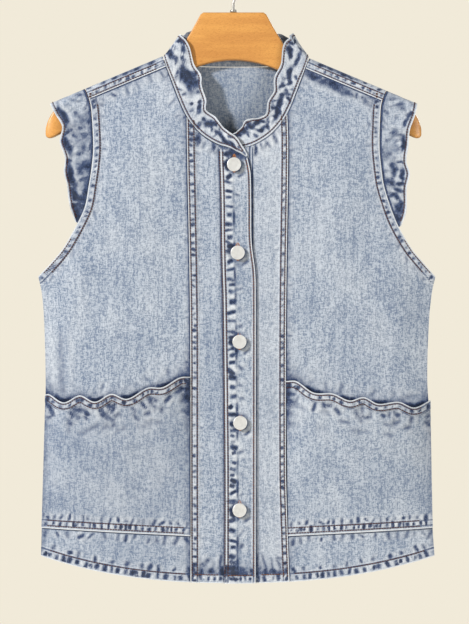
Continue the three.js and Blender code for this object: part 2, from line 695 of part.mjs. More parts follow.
function hangerBody() {
  const { bows, nose, tip } = HANGER;
  const noseSteps = [0, 0.31, 0.54, 0.73, 0.88, 0.97, 1].map((share) => lerp(nose, tip, share));
  const reaches = joined(
    HANGER_TOP.map((row) => row.reach),
    steps(HANGER_TOP.at(-1).reach, bows, 5),
    steps(bows, nose, 4),
    noseSteps,
  );
  const stations = [...reaches.toReversed().map((r) => -r), ...reaches.slice(1)];
  const corner = 3;
  const sections = stations.map((x) => {
    const reach = Math.abs(x);
    const [top, foot] = [hangerTop(reach), hangerFoot(reach)];
    const taper = Math.max(0, (reach - nose) / (tip + 1 - nose));
    const shrink = Math.sqrt(Math.max(0.05, 1 - taper ** 2));
    const half = HANGER.half * shrink;
    const round = Math.min(HANGER.round * shrink, (top - foot) / 2 - 0.2);
    const ring = [];
    for (const [sy, sz, start] of [[1, -1, -90], [1, 1, 0], [-1, 1, 90], [-1, -1, 180]]) {
      for (let k = 0; k <= corner; k++) {
        const angle = radians(start + (90 * k) / corner);
        const y = sy * (half - round) + round * Math.cos(angle);
        const z = (sz > 0 ? top - round : foot + round) + round * Math.sin(angle);
        ring.push(new THREE.Vector3(x, y, z));
      }
    }
    return ring;
  });
  const n = sections[0].length;
  const points = sections.flat();
  const faces = [];
  for (let s = 0; s < sections.length - 1; s++) {
    for (let k = 0; k < n; k++) {
      const [a, b] = [s * n + k, s * n + ((k + 1) % n)];
      faces.push(a, b, b + n, a, b + n, a + n);
    }
  }
  const last = (sections.length - 1) * n;
  for (let k = 1; k < n - 1; k++) faces.push(0, k + 1, k, last, last + k, last + k + 1);
  return solid(points, faces);
}

function hangerHook() {
  const radius = HOOK.inside + HOOK.wire;
  const points = [HANGER_TOP[0].z + SEAM, -56, HOOK.stem].map((z) => new THREE.Vector3(0, 0, z));
  for (const angle of steps(HOOK.start, HOOK.turn, 14).map(radians)) {
    points.push(new THREE.Vector3(radius * Math.cos(angle), 0, radius * Math.sin(angle) - HOOK.inside));
  }
  const section = new THREE.Shape();
  section.absarc(0, 0, HOOK.wire, 0, 2 * Math.PI);
  const extrudePath = new THREE.CatmullRomCurve3(points);
  const options = { steps: 40, curveSegments: 4, extrudePath, bevelEnabled: false };
  return new THREE.ExtrudeGeometry(section, options);
}

function ferrule() {
  const inner = HOOK.wire + SEAM;
  const { outer, height } = FERRULE;
  const profile = [
    [inner, 0],
    [outer, 0],
    [outer, height * 0.6],
    [outer - 1, height],
    [inner, height],
    [inner, 0],
  ].map(([r, h]) => new THREE.Vector2(r, h));
  const geometry = new THREE.LatheGeometry(profile, 20);
  geometry.rotateX(Math.PI / 2);
  geometry.translate(0, 0, HANGER_TOP[0].z + SEAM);
  return geometry;
}

const DENIM = { color: 0xaebdd0, roughness: 0.92, metalness: 0 };
const DENIM_SEAM = { color: 0x8fa3ba, roughness: 0.92, metalness: 0 };
const METAL = { color: 0xd6d5d0, roughness: 0.45, metalness: 0.9 };
const WOOD = { color: 0xdea45a, roughness: 0.45, metalness: 0 };

const vest = new THREE.Group();
function add(name, geometry, look) {
  const mesh = new THREE.Mesh(geometry, new THREE.MeshStandardMaterial({ ...look, side: THREE.FrontSide }));
  mesh.name = name;
  vest.add(mesh);
}

for (const side of ["left", "right"]) {
  add(`side_panel_${side}`, sidePanel(side), DENIM);
  add(`centre_panel_${side}`, centrePanel(side), DENIM);
  add(`lower_band_${side}`, lowerBand(side), DENIM);
  add(`pocket_${side}`, pocket(side), DENIM);
  add(`cap_sleeve_${side}`, capSleeve(side), DENIM);
}
add("back_panel", backPanel(), DENIM);
add("collar", collar(), DENIM_SEAM);
add("under_placket", underPlacket(), DENIM);
add("over_placket", overPlacket(), DENIM_SEAM);
BUTTONS.forEach((place, i) => add(`button_${i + 1}`, button(place), METAL));
add("hanger_body", hangerBody(), WOOD);
add("hanger_hook", hangerHook(), METAL);
add("hanger_ferrule", ferrule(), METAL);

export default vest;
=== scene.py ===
"""A light-wash denim vest with a frilled stand collar and ruffled caps, on a wooden hanger."""

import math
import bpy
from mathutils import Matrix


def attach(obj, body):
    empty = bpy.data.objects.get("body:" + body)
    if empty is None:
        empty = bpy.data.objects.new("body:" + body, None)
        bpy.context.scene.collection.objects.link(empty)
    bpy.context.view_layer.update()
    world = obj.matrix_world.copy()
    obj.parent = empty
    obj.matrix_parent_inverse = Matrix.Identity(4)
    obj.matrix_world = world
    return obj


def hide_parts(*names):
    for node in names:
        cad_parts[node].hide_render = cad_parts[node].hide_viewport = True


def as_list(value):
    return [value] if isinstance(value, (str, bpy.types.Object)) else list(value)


bl_info = {
    "name": "Denim Vest on a Hanger",
    "version": (1, 0, 0),
    "blender": (4, 5, 0),
    "location": "View3D > Sidebar > Vest",
    "description": "Builds the cloth, topstitching, buttons and hanger of a denim vest",
    "category": "Add Mesh",
}

import bpy
import numpy as np
from mathutils import Vector

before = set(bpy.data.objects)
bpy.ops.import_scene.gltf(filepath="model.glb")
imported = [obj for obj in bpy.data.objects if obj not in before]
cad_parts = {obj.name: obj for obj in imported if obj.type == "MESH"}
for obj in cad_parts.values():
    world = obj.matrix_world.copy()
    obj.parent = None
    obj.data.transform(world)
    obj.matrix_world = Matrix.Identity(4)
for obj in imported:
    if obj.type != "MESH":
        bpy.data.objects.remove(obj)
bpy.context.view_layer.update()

MM = 0.001
SIDES = ("left", "right")
INWARD = {"left": 1, "right": -1}

# The pattern, in millimetres: x to the right of the hook, z up from its inside top
SEAM = 0.3
EASE = 0.8
RIDGE = 8.5
FRONT_DEPTH = 16
BACK_DEPTH = 13
HEM_KEEP = 0.7
PINCH = 1.55
PINCH_POWER = 5
LEAN_FROM, LEAN_TO, LEAN_BACK = -180, -740, 10
SHOULDER_REACH, SHOULDER_INNER, SHOULDER_TOP = 88, 70, -115.3
SHOULDER_SLOPE, SHOULDER_SEAM = 0.42, 15.6
DEEPENS = 110
NECK_X, NECK_HALF, NECK_BOTTOM = 3.1, 88.2, -226
BACK_NECK_DIP = 2.5
HEM_MIDDLE, HEM_RISE, HEM_POWER = -745.5, 31.5, 2.3
BAND_OUTER, BAND_INNER = -680, -688.8
PLACKET_LAP, UNDER_EDGE = 6, 23.2
DIP_FROM, DIP_REACH, DIP_DEEP, DIP_POWER = -8, 22, 11, 1.5
POCKET_OPEN = 9.5
COLLAR_PROUD, COLLAR_START, COLLAR_LEAN, COLLAR_STAND, BACK_INSET = 0.6, 4.6, 0.58, 0.82, 1.2
COLLAR_WAVES, COLLAR_FRILL, LAP_LIFT = 17, 1.3, 2.7
COLLAR_ENDS = {"left": (15, 10, 4.5), "right": (-3, 3)}
SLEEVE_END, SLEEVE_PITCH, SLEEVE_FRILL = 157, 34, 1.8
BUTTON_RADIUS, BUTTON_SHANK, BUTTON_CAP, BUTTON_SEEN = 8.6, 1.5, 2.4, 0.97


def rows(text):
    """A short table: its first line names the columns."""
    head, *body = [line.split() for line in text.strip().splitlines()]
    values = np.array(body, float)
    return {name: values[:, k] for k, name in enumerate(head)}


SIDE_SEAM = rows("""
z left right
-714 -231.6 241.8
-652 -230.2 238.1
-598 -228.5 237.4
-546 -226.6 235.6
-500 -225.7 232.8
-433 -227.2 234.6
-399 -229.8 237.8
-378 -234 242
""")
ARMHOLE = rows("""
z left right
-378 -234 242
-361 -217.5 226.5
-346 -204.6 213.5
-332 -195.7 204.5
-316 -186.6 195.5
-295 -177 187
-269 -172.2 179
-248 -169 176
-225 -167.2 174
-188 -169 175
-170 -171.4 177
-152 -177.7 183.6
""")
PRINCESS = rows("""
z left right
-747 -51.5 67
-640 -51.6 63.3
-598 -51.6 62.6
-417 -51.8 62.6
-226 -55.2 65
-180 -55.8 63.8
""")
PLACKET = rows("""
z left right
-747 -11.2 26.4
-598 -11.2 26.4
-406 -13.4 26.4
-374 -14.4 25.8
-337 -15.2 21.5
-287 -15.8 20.9
-256 -16.6 20.2
-244 -17.2 18
-236 -17.4 16
-222 -17.6 12
""")
NECKLINE = rows("""
reach rise
0 0
12 1.4
20 3.8
30 8.8
41 16.4
50 25.4
57 34.5
63 45.2
70 61.7
76.8 79.6
83.2 96.6
88.2 110.7
""")
MOUTH = {
    "left": rows("""
x z
-226 -520
-221 -519
-203 -528.6
-183 -519.8
-165 -527.4
-145.3 -517.8
-126.6 -523.8
-102.1 -510.6
-84.1 -510
-64.2 -498.6
-51.8 -497.8
"""),
    "right": rows("""
x z
62.6 -503
75 -503
95 -516.3
118.2 -517.5
137.9 -525.8
154.9 -521.7
172 -529.8
197 -527.6
216 -534.8
236.4 -526.5
"""),
}
COLLAR_WIDTH = rows("""
at width
0 2
0.023 10
0.05 17.5
0.074 20.6
0.1 24.6
0.119 26
0.15 23.2
0.163 25.6
0.178 29.4
0.22 31.4
0.234 35
0.252 33.2
0.275 40.6
0.296 37.6
0.318 33
0.345 37
0.384 43
0.44 40
0.56 37
0.616 39
0.66 35
0.69 33
0.725 38
0.742 40.5
0.762 30.5
0.783 30.6
0.807 25
0.838 26.8
0.876 20.6
0.895 23.2
0.942 29.9
0.98 21
1 16.5
""")
SLEEVE_WIDTH = rows("""
drop left right
0 41.5 37
22 40.6 39.5
46 35.2 35.4
68 39.2 34.2
89 32.4 30.4
103 32 32.4
118 25.7 26.2
133 21.6 21.1
144 15.6 15.1
151 9 9.2
157 3 3
""")
FRONT_FOLDS = rows("""
x z wide long rise slant
-196 -430 20 120 1.8 0.12
-120 -330 30 150 1.2 -0.08
126 -300 28 140 1.3 0.06
200 -440 18 130 2 -0.1
150 -600 34 150 0.8 0.05
-140 -610 30 150 0.9 -0.06
""")
BACK_FOLDS = rows("""
x z wide long rise slant
-150 -420 26 180 1.8 0.05
-60 -560 30 190 1.4 -0.04
40 -470 28 200 1.6 0.03
140 -540 26 190 1.9 -0.05
""")
# Folds that kept their dye, as placed on the collar, the caps and the panels: lean in degrees
COLLAR_BLOTS = rows("""
x z half wide lean dye
-64 -97 3.6 2.4 -20 0.95
-74 -113 9 3 -45 1
-60 -106 4 2.6 80 0.85
-61 -116 3 2 0 0.7
-53 -143 14 6.5 -65 1.1
-47 -137 5 3 -20 0.8
-58 -161 3 2 0 0.7
-41 -177 8 2.2 80 0.9
-29 -196 6.5 4 -20 1
-42 -198 5 3 20 0.7
-12 -214 12 2 -42 1
-0 -223 7 1.8 -50 0.95
-18 -207 4 2 0 0.8
-51 -172 3 2 0 0.5
-67 -141 4 2.5 0 0.4
71 -99 4 2.2 10 0.95
67 -108 6.5 2.8 -80 1
76 -120 8 1.9 75 0.95
80 -107 4 1.6 -50 0.6
67 -137 9 2.6 85 0.95
58 -150 4 2.4 60 0.85
54 -176 14 2.6 72 1.2
64 -158 5 2.5 -50 0.7
66 -166 5 2 -60 0.6
40 -196 6 2.4 70 0.7
34 -203 5 2.2 40 0.8
30 -194 5 2.4 20 0.95
20 -198 4.5 3.2 -40 1
12 -205 6 4 25 0.9
4 -210 5 2.5 10 1.1
47 -175 5 2 80 0.6
""")
SLEEVE_BLOTS = rows("""
x z half wide lean dye
-203 -188 10.7 3.4 -63 1
-199 -220 9 3 -65 1.05
-198 -241 4 2 0 0.8
-194 -258 13 3.2 -70 1.1
-187 -282 9.5 3.5 -45 1
-191 -295 5 3 0 1
-186 -306 7 3.5 -55 1
-182 -294 6 2.5 -20 0.8
-198 -205 5 2.2 20 0.6
-179 -247 7 5 0 0.5
-181 -187 9 7 0 0.4
-179 -225 7 3 80 0.4
-175 -276 9 3 80 0.7
-191 -200 12 8 60 0.35
203 -220 7 2.6 90 1.1
210 -185 4 3 0 0.75
206 -193 5 2 60 0.8
201 -256 6 2.4 90 1
199 -268 5 2 -10 0.9
198 -276 7 2 -20 0.85
191 -249 7 4 85 0.8
194 -283 6 2.5 -35 1
198 -296 5 4 70 1.05
196 -308 4 3 0 0.9
199 -242 4 1.6 -15 0.85
200 -175 5 4 0 0.5
185 -234 7 4 30 0.4
193 -209 8 5 0 0.4
192 -228 9 6 0 0.4
187 -267 10 4 -30 0.6
""")
PANEL_BLOTS = rows("""
x z half wide lean dye
-43 -216 6 3.6 90 0.8
-24 -223 6 2.4 90 0.7
-50 -212 5 2 80 0.5
26.5 -228 6 1.8 90 0.8
38 -222 6 2.4 80 0.4
96 -139 7 3.4 -24 0.7
118 -150 15 4.6 -22 0.62
137 -160 8 3 -22 0.4
157 -169 7 3 -30 0.4
-172 -176 7 3.4 60 0.4
""")
BUTTONS = ((0.7, -245.4), (5, -350.1), (7.1, -456.1), (8, -552.8), (7.2, -657.4))
BUTTONHOLE_HALF, BUTTONHOLE_TALL, BUTTONHOLE_UP, BUTTONHOLE_STITCHES = 2.0, 9.9, 1.7, 48

# The rows of stitches: how far they lie from their edges, where they end and how far they stand out
FELL_WIDE = {"left": 10.3, "right": 8.9}
FELL_ROW, FELL_FREE = 1.9, 2
HEM_ROW, HEM_BAND = 9.8, 10.2
ARMHOLE_ROW, ARMHOLE_EDGE_ROW, ARMHOLE_BAND = 8.2, 1.9, 7.8
ARMHOLE_ROW_TOP, ARMHOLE_EDGE_ROW_TOP = -165, -328
MOUTH_ROWS, BAND_ROWS = (2.4, 8), (3.2, 9.8)
PLACKET_ROWS, PLACKET_EDGE_ROW, UNDER_ROW = (0.9, 4.6), 2.2, 4
COLLAR_EDGE_ROW, COLLAR_FOOT_ROW, CAP_ROW = 2.9, 2.6, 3.1
SHOULDER_ROWS, SHOULDER_GROOVES = (2.4, 8.4), (2.4, 8.6)
SHOULDER_ROW_ENDS = {"left": (-174, -86), "right": (92, 181)}
SHOULDER_ROW_LIFT, BAR_LIFT = 0.5, 0.6
BAR_X, BAR_RIDGE_X, BAR_STEPS = 170.4, 171, (0, 1.2)
BAR_LOW, BAR_HIGH, BAR_POINTS = 0.6, 10, 9
HEM_ENDS, HEM_CROSSINGS_Z = (-226, 236), -735
PRINCESS_ROW_FOOT, PLACKET_ROW_FOOT = -740, -742
POCKET_ROW_ENDS, POCKET_ROW_LIFT = (228, 52), SEAM + 1.4

# Each sheet: its cut in metres, the area of its face in square metres, and what carries it
SHEETS = {
    "back_panel": ((0.478, 0.66), 0.2629, ["hanger_body"]),
    "side_panel_left": ((0.186, 0.565), 0.0831, ["hanger_body"]),
    "side_panel_right": ((0.186, 0.565), 0.0815, ["hanger_body"]),
    "centre_panel_left": ((0.052, 0.565), 0.0241, ["collar"]),
    "centre_panel_right": ((0.052, 0.565), 0.0215, ["collar"]),
    "under_placket": ((0.034, 0.522), 0.0156, ["centre_panel_right"]),
    "over_placket": ((0.0395, 0.533), 0.0195, ["centre_panel_left"]),
    "pocket_left": ((0.181, 0.192), 0.0299, ["side_panel_left"]),
    "pocket_right": ((0.181, 0.192), 0.0285, ["side_panel_right"]),
    "lower_band_left": ((0.182, 0.067), 0.00874, ["side_panel_left"]),
    "lower_band_right": ((0.182, 0.067), 0.00839, ["side_panel_right"]),
    "collar": ((0.037, 0.56), 0.0149, ["centre_panel_left", "back_panel"]),
    "cap_sleeve_left": ((0.045, 0.38), 0.0098, ["side_panel_left", "back_panel"]),
    "cap_sleeve_right": ((0.045, 0.38), 0.0095, ["side_panel_right", "back_panel"]),
}

# The stage, in metres and watts
LAMPS = (
    ("key_light", (-3.6, -2.7, 1.6), 0.5, 262),
    ("fill_light", (2.3, -2.0, -0.4), 1.6, 38),
    ("rear_light", (1.3, 2.2, 0.7), 1.5, 34),
)
LAMP_COLOUR, LAMP_AIM = (1.0, 0.985, 0.96), (0, 0, -0.42)
CAMERA_PLACE, CAMERA_LENS = (0.0012, -2.078, -0.4206), 100
FLOOR_RADIUS, FLOOR_Z = 3, -1.5


# The same curves and faces as the solid's
def soft(t):
    t = np.clip(t, 0, 1)
    return t * t * (3 - 2 * t)


def curve_through(keys, values, at):
    """A smooth curve through values that are given at rising keys."""
    at = np.clip(np.asarray(at, float), keys[0], keys[-1])
    k = np.clip(np.searchsorted(keys, at, side="left") - 1, 0, len(keys) - 2)
    own = np.arange(len(keys))
    low, high = np.maximum(own - 1, 0), np.minimum(own + 1, len(keys) - 1)
    run = (keys[high] - keys[low]).reshape((-1,) + (1,) * (values.ndim - 1))
    grade = (values[high] - values[low]) / run
    span = keys[k + 1] - keys[k]
    t = (at - keys[k]) / span
    if values.ndim > 1:
        t, span = t[:, None], span[:, None]
    return (
        (2 * t**3 - 3 * t**2 + 1) * values[k]
        + (t**3 - 2 * t**2 + t) * span * grade[k]
        + (3 * t**2 - 2 * t**3) * values[k + 1]
        + (t**3 - t**2) * span * grade[k + 1]
    )


def column(table, key, name, at):
    return curve_through(table[key], table[name], at)


TIP_Z = ARMHOLE["z"][0]


def side_x(z, side):
    return column(SIDE_SEAM, "z", side, np.minimum(z, TIP_Z))


def armhole_x(z, side):
    return column(ARMHOLE, "z", side, z)


def outer_x(z, side):
    return np.where(np.asarray(z) < TIP_Z, side_x(z, side), armhole_x(z, side))


def princess_x(z, side):
    return column(PRINCESS, "z", side, z)


def placket_x(z, side):
    return column(PLACKET, "z", side, z)


def ridge_z(x):
    return SHOULDER_TOP - SHOULDER_SLOPE * (np.maximum(SHOULDER_INNER, np.abs(x)) - SHOULDER_REACH)


def hem_z(x):
    half = np.where(np.asarray(x) < 0, -side_x(HEM_MIDDLE, "left"), side_x(HEM_MIDDLE, "right"))
    return HEM_MIDDLE + HEM_RISE * np.abs(x / half) ** HEM_POWER


def neck_z(x):
    return NECK_BOTTOM + column(NECKLINE, "reach", "rise", np.minimum(np.abs(x - NECK_X), NECK_HALF))


_reach = np.linspace(0, NECK_HALF, 800)
NECK_HEIGHTS = neck_z(NECK_X + _reach)


def neck_x(z, side):
    return NECK_X - INWARD[side] * np.interp(z, NECK_HEIGHTS, _reach)


def placket_top_z(x):
    return neck_z(x) - DIP_DEEP * (np.maximum(0, x - DIP_FROM) / DIP_REACH) ** DIP_POWER


def back_neck_z(x):
    share = np.minimum(1, np.abs(x - NECK_X) / NECK_HALF)
    return SHOULDER_TOP - RIDGE - BACK_NECK_DIP * (1 - share**2)


def band_seam_z(x, side):
    ends = side_x(BAND_OUTER, side), princess_x(BAND_INNER, side)
    return BAND_OUTER + (BAND_INNER - BAND_OUTER) * np.clip((x - ends[0]) / (ends[1] - ends[0]), 0, 1)


def depth(x, z, full, folds):
    drop = ridge_z(x) - z
    round_part = np.sqrt(np.maximum(0, RIDGE**2 - (RIDGE - np.minimum(drop, RIDGE)) ** 2))
    half = np.where(np.asarray(x) < 0, side_x(z, "left"), side_x(z, "right"))
    opened = 1 - np.minimum(1, np.abs(x / half)) ** PINCH_POWER
    keep = 1 + (HEM_KEEP - 1) * soft((TIP_Z - z) / (TIP_Z - HEM_MIDDLE))
    rise = 0
    for fx, fz, wide, length, lift, slant in zip(*folds.values()):
        rise = rise + lift * np.exp(-(((x - fx - slant * (z - fz)) / wide) ** 2) - ((z - fz) / length) ** 2)
    hollow = PINCH + (full * keep - PINCH + rise) * opened
    return np.where(drop < RIDGE, round_part, RIDGE + (hollow - RIDGE) * soft((drop - RIDGE) / DEEPENS))


def middle_y(z):
    return LEAN_BACK * soft((LEAN_FROM - z) / (LEAN_FROM - LEAN_TO))


def front_y(x, z):
    return middle_y(z) - depth(x, z, FRONT_DEPTH, FRONT_FOLDS)


def back_y(x, z):
    return middle_y(z) + depth(x, z, BACK_DEPTH, BACK_FOLDS)


def meet(x_of, drop, start):
    x = start
    for _ in range(12):
        x = float(x_of(ridge_z(x) - drop))
    return x


def corner_z(side):
    z = -190.0
    for _ in range(12):
        z = float(neck_z(princess_x(z, side)))
    return z


def patch(bottom, top, left, right, us, vs):
    """A grid in the front view between four edges, each a function from 0 to 1."""
    u, v = us[None, :, None], vs[:, None, None]
    low, high, near_edge, far_edge = bottom(us)[None], top(us)[None], left(vs)[:, None], right(vs)[:, None]
    corners = [edge(np.array([t]))[0] for edge in (bottom, top) for t in (0.0, 1.0)]
    return (
        (1 - v) * low + v * high + (1 - u) * near_edge + u * far_edge
        - (1 - u) * ((1 - v) * corners[0] + v * corners[2])
        - u * ((1 - v) * corners[1] + v * corners[3])
    )


def along(x_of, start, end):
    def edge(t):
        z = start + (end - start) * t
        return np.stack([x_of(z), z], -1)
    return edge


def across(z_of, start, end):
    def edge(t):
        x = start + (end - start) * t
        return np.stack([x, z_of(x)], -1)
    return edge


def spaced(*stops):
    """Even steps between stops, given as value, count, value, count, value."""
    parts = [np.linspace(stops[k], stops[k + 2], stops[k + 1] + 1)[1:] for k in range(0, len(stops) - 2, 2)]
    return np.concatenate([[stops[0]], *parts])


# Seam lines on the front view
def line_of(x, z):
    x, z = np.broadcast_arrays(np.asarray(x, float), np.asarray(z, float))
    return np.stack([x, z], -1)


def heights(low, high, step=8):
    return np.linspace(low, high, max(2, int((high - low) / step)))


LINES = {}
for _side in SIDES:
    _z = heights(-746, corner_z(_side))
    LINES["princess", _side] = line_of(princess_x(_z, _side), _z)
    _z = heights(TIP_Z, -150, 5)
    LINES["armhole", _side] = line_of(armhole_x(_z, _side), _z)
    _z = heights(-716, TIP_Z)
    LINES["side", _side] = line_of(side_x(_z, _side), _z)
    _x = np.sort([float(side_x(BAND_OUTER, _side)), float(princess_x(BAND_INNER, _side))])
    _x = np.linspace(*_x, 30)
    LINES["band", _side] = line_of(_x, band_seam_z(_x, _side))
    _x = np.linspace(MOUTH[_side]["x"][0], MOUTH[_side]["x"][-1], 70)
    LINES["mouth", _side] = line_of(_x, column(MOUTH[_side], "x", "z", _x))
    _x = np.linspace(*sorted([-INWARD[_side] * 180, -INWARD[_side] * 74]), 20)
    LINES["shoulder", _side] = line_of(_x, ridge_z(_x) - SHOULDER_SEAM)
    _z = heights(-746, -228 if _side == "left" else -238)
    LINES["placket", _side] = line_of(placket_x(_z, _side), _z)
_turn = np.linspace(-math.pi / 2, math.pi / 2, 70)
_x = NECK_X + NECK_HALF * np.sin(_turn)
LINES["neck"] = line_of(_x, neck_z(_x))
LINES["under"] = line_of([UNDER_EDGE, UNDER_EDGE], [-746, -225])
_x = np.linspace(float(side_x(HEM_MIDDLE, "left")), float(side_x(HEM_MIDDLE, "right")), 60)
LINES["hem"] = line_of(_x, hem_z(_x))


def lengths_along(line):
    return np.concatenate([[0], np.cumsum(np.linalg.norm(np.diff(line, axis=0), axis=1))])


def near(line, a, b):
    """How far points lie from a line."""
    best = np.full(a.shape, 1e9)
    for p, q in zip(line[:-1], line[1:]):
        d = q - p
        t = np.clip(((a - p[0]) * d[0] + (b - p[1]) * d[1]) / (d @ d), 0, 1)
        best = np.minimum(best, np.hypot(a - p[0] - t * d[0], b - p[1] - t * d[1]))
    return best


def offset_line(line, inset):
    """The line moved to its left by inset."""
    d = np.gradient(line, axis=0)
    d /= np.linalg.norm(d, axis=1)[:, None]
    return line + inset * np.stack([-d[:, 1], d[:, 0]], -1)


FIELDS = ("relief", "dye", "worn", "edge", "row", "shade")


class Sewn:
    """What sewing and washing did to a piece, with the shade painted on it, at points (a, b) of its own
    plane, in millimetres.
    """

    def __init__(self, a, b):
        self.a, self.b = np.asarray(a, float), np.asarray(b, float)
        self.relief = np.zeros(self.a.shape)
        self.dye = np.zeros(self.a.shape)
        self.worn = np.zeros(self.a.shape)
        self.edge = np.full(self.a.shape, 9.0)
        self.row = np.full(self.a.shape, 9.0)
        self.shade = np.full(self.a.shape, 9.0)

    def turned(self):
        """The same points with each row in the other order."""
        other = Sewn(self.a[:, ::-1], self.b[:, ::-1])
        for name in FIELDS:
            setattr(other, name, getattr(self, name)[:, ::-1])
        return other

    def gap(self, line):
        return near(line, self.a, self.b)

    def darker(self, amount):
        self.dye = self.dye + amount

    def halo(self, line, reach, dye):
        """Darker cloth beside a seam, where the wash didn't get."""
        self.dye = self.dye + dye * np.exp(-((self.gap(line) / reach) ** 1.3))

    def fold(self, line):
        self.edge = np.minimum(self.edge, self.gap(line))

    def band(self, line, wide, rise):
        """The layers folded under beside a line lift the cloth."""
        self.relief = self.relief + rise * (1 - soft((self.gap(line) - wide) / 1.8))

    def stitched(self, line, *insets):
        gap = self.gap(line)
        for inset in insets:
            self.row = np.minimum(self.row, np.abs(gap - inset))

    def seam(self, line, weaker=0.0):
        """The dark line of cloth that lies in a seam's shade."""
        self.shade = np.minimum(self.shade, self.gap(line) + weaker)

    def weaken_but(self, kept):
        """Makes the seeded folds faint where folds are placed one by one."""
        for name in ("dye", "worn", "relief"):
            values = getattr(self, name)
            setattr(self, name, np.where(kept, values, 0.3 * values))

    def blots(self, table, a=None, b=None, deep=0.3):
        """Dyed folds, placed one by one."""
        a, b = (self.a, self.b) if a is None else (a, b)
        for x, z, half, wide, lean, dye in zip(*table.values()):
            turn = math.radians(lean)
            da, db = a - x, b - z
            v = (da * math.cos(turn) + db * math.sin(turn)) / half
            u = (db * math.cos(turn) - da * math.sin(turn)) / wide
            u = u + 0.35 * np.sin(2.6 * v + x) + 0.15 * np.sin(5.3 * v + z)
            far = 0.88 * np.hypot(u, v + 0.2 * np.sin(2.2 * u + z))
            spot = np.exp(-(far**2.4) * 0.75)
            self.dye = np.maximum(self.dye, 1.6 * dye * spot)
            self.relief = self.relief - deep * dye * spot
            rim = np.exp(-(((far - 1.9) / 0.5) ** 2))
            self.worn = np.maximum(self.worn, 0.5 * dye * rim)

    def puckers(self, line, seed, pitch, inset, half, wide, deep, dye, slant=0.25, turn=0.0, side=1):
        """Short uneven troughs across a seam, each with a worn ridge on either side."""
        rng = np.random.default_rng(seed)
        runs = lengths_along(line)
        at = pitch * rng.uniform(0.2, 0.8)
        while at < runs[-1]:
            px, pz = np.interp(at, runs, line[:, 0]), np.interp(at, runs, line[:, 1])
            qx, qz = np.interp(at + 1, runs, line[:, 0]), np.interp(at + 1, runs, line[:, 1])
            if at + 1 > runs[-1]:
                break
            heading = math.atan2(qz - pz, qx - px)
            lean = heading + side * math.pi / 2 + turn + rng.normal(0, slant)
            move = inset + rng.normal(0, 0.16) * half
            cx = px + math.cos(heading + side * math.pi / 2) * move
            cz = pz + math.sin(heading + side * math.pi / 2) * move
            long = half * rng.uniform(0.6, 1.35)
            broad = wide * rng.uniform(0.7, 1.3)
            strength = rng.uniform(0.6, 1.2)
            self.trough(cx, cz, lean, long, broad, deep * strength, dye * strength)
            at += pitch * rng.uniform(0.6, 1.45)

    def trough(self, cx, cz, lean, half, wide, deep, dye):
        da, db = self.a - cx, self.b - cz
        v = da * math.cos(lean) + db * math.sin(lean)
        u = db * math.cos(lean) - da * math.sin(lean)
        taper = np.clip(1 - (v / half) ** 4, 0, 1)
        pit = np.exp(-((u / wide) ** 2)) * taper
        beside = [np.exp(-(((u + way * 1.8 * wide) / wide) ** 2)) for way in (-1, 1)]
        ridge = (beside[0] + beside[1]) * taper
        self.relief = self.relief - deep * pit + 0.35 * deep * ridge
        self.dye = np.maximum(self.dye, dye * pit)
        self.worn = np.maximum(self.worn, 0.55 * dye * ridge)


# Looks of the finished surfaces
def srgb(r, g, b):
    """A colour from 0-255 values to linear light."""
    shares = (r / 255, g / 255, b / 255)
    return tuple(c / 12.92 if c <= 0.04045 else ((c + 0.055) / 1.055) ** 2.4 for c in shares)


def colour(name, text, value):
    return bpy.props.FloatVectorProperty(
        name=name, description=text, subtype="COLOR", size=3, min=0, max=1, default=srgb(*value)
    )


def length(name, text, value):
    return bpy.props.FloatProperty(
        name=name, description=text, unit="LENGTH", default=value, min=0, precision=4
    )


class VestSizes(bpy.types.PropertyGroup):
    """Sizes that a user may change"""

    cloth: length("Cloth", "Thickness of one layer of denim", 0.0014)
    folded: length("Folded band", "Thickness of the collar and the plackets", 0.0024)
    cell: length("Cell", "Spacing of the points on the cloth", 0.0022)
    stitch: length("Stitch", "Length from one topstitch to the next", 0.0032)
    thread: length("Thread", "Radius of the topstitching thread", 0.00062)
    pucker: bpy.props.FloatProperty(
        name="Puckers", description="Strength of the relief beside the seams", default=1.0, min=0, max=2
    )


class VestColours(bpy.types.PropertyGroup):
    """Colours that a user may change"""

    wash: colour("Wash", "Light denim", (188, 198, 213))
    grain: colour("Grain", "The darker yarns of the light denim", (108, 125, 153))
    # The next colour also paints the shade in seams, stitch grooves, gaps and pocket mouths
    indigo_and_shade: colour("Indigo", "Troughs that kept their dye", (42, 62, 102))
    worn: colour("Worn", "Edges and ridges rubbed pale", (224, 229, 236))
    inner: colour("Inside", "The cloth's inner face", (168, 178, 192))
    thread: colour("Thread", "Brown topstitching", (78, 42, 34))
    rust: colour("Rust thread", "Faded parts of the topstitching", (108, 70, 54))
    buttonhole: colour("Buttonhole", "Buttonhole thread", (172, 112, 64))
    metal: colour("Button", "Matte metal of the buttons", (240, 242, 244))
    wood: colour("Wood", "Varnished beech", (222, 162, 88))
    wood_dark: colour("Wood grain", "Pores and rays of the beech", (178, 112, 50))
    steel: colour("Steel", "The hook and its ferrule", (170, 168, 164))
    floor: colour("Floor", "Floor and surroundings", (241, 234, 217))


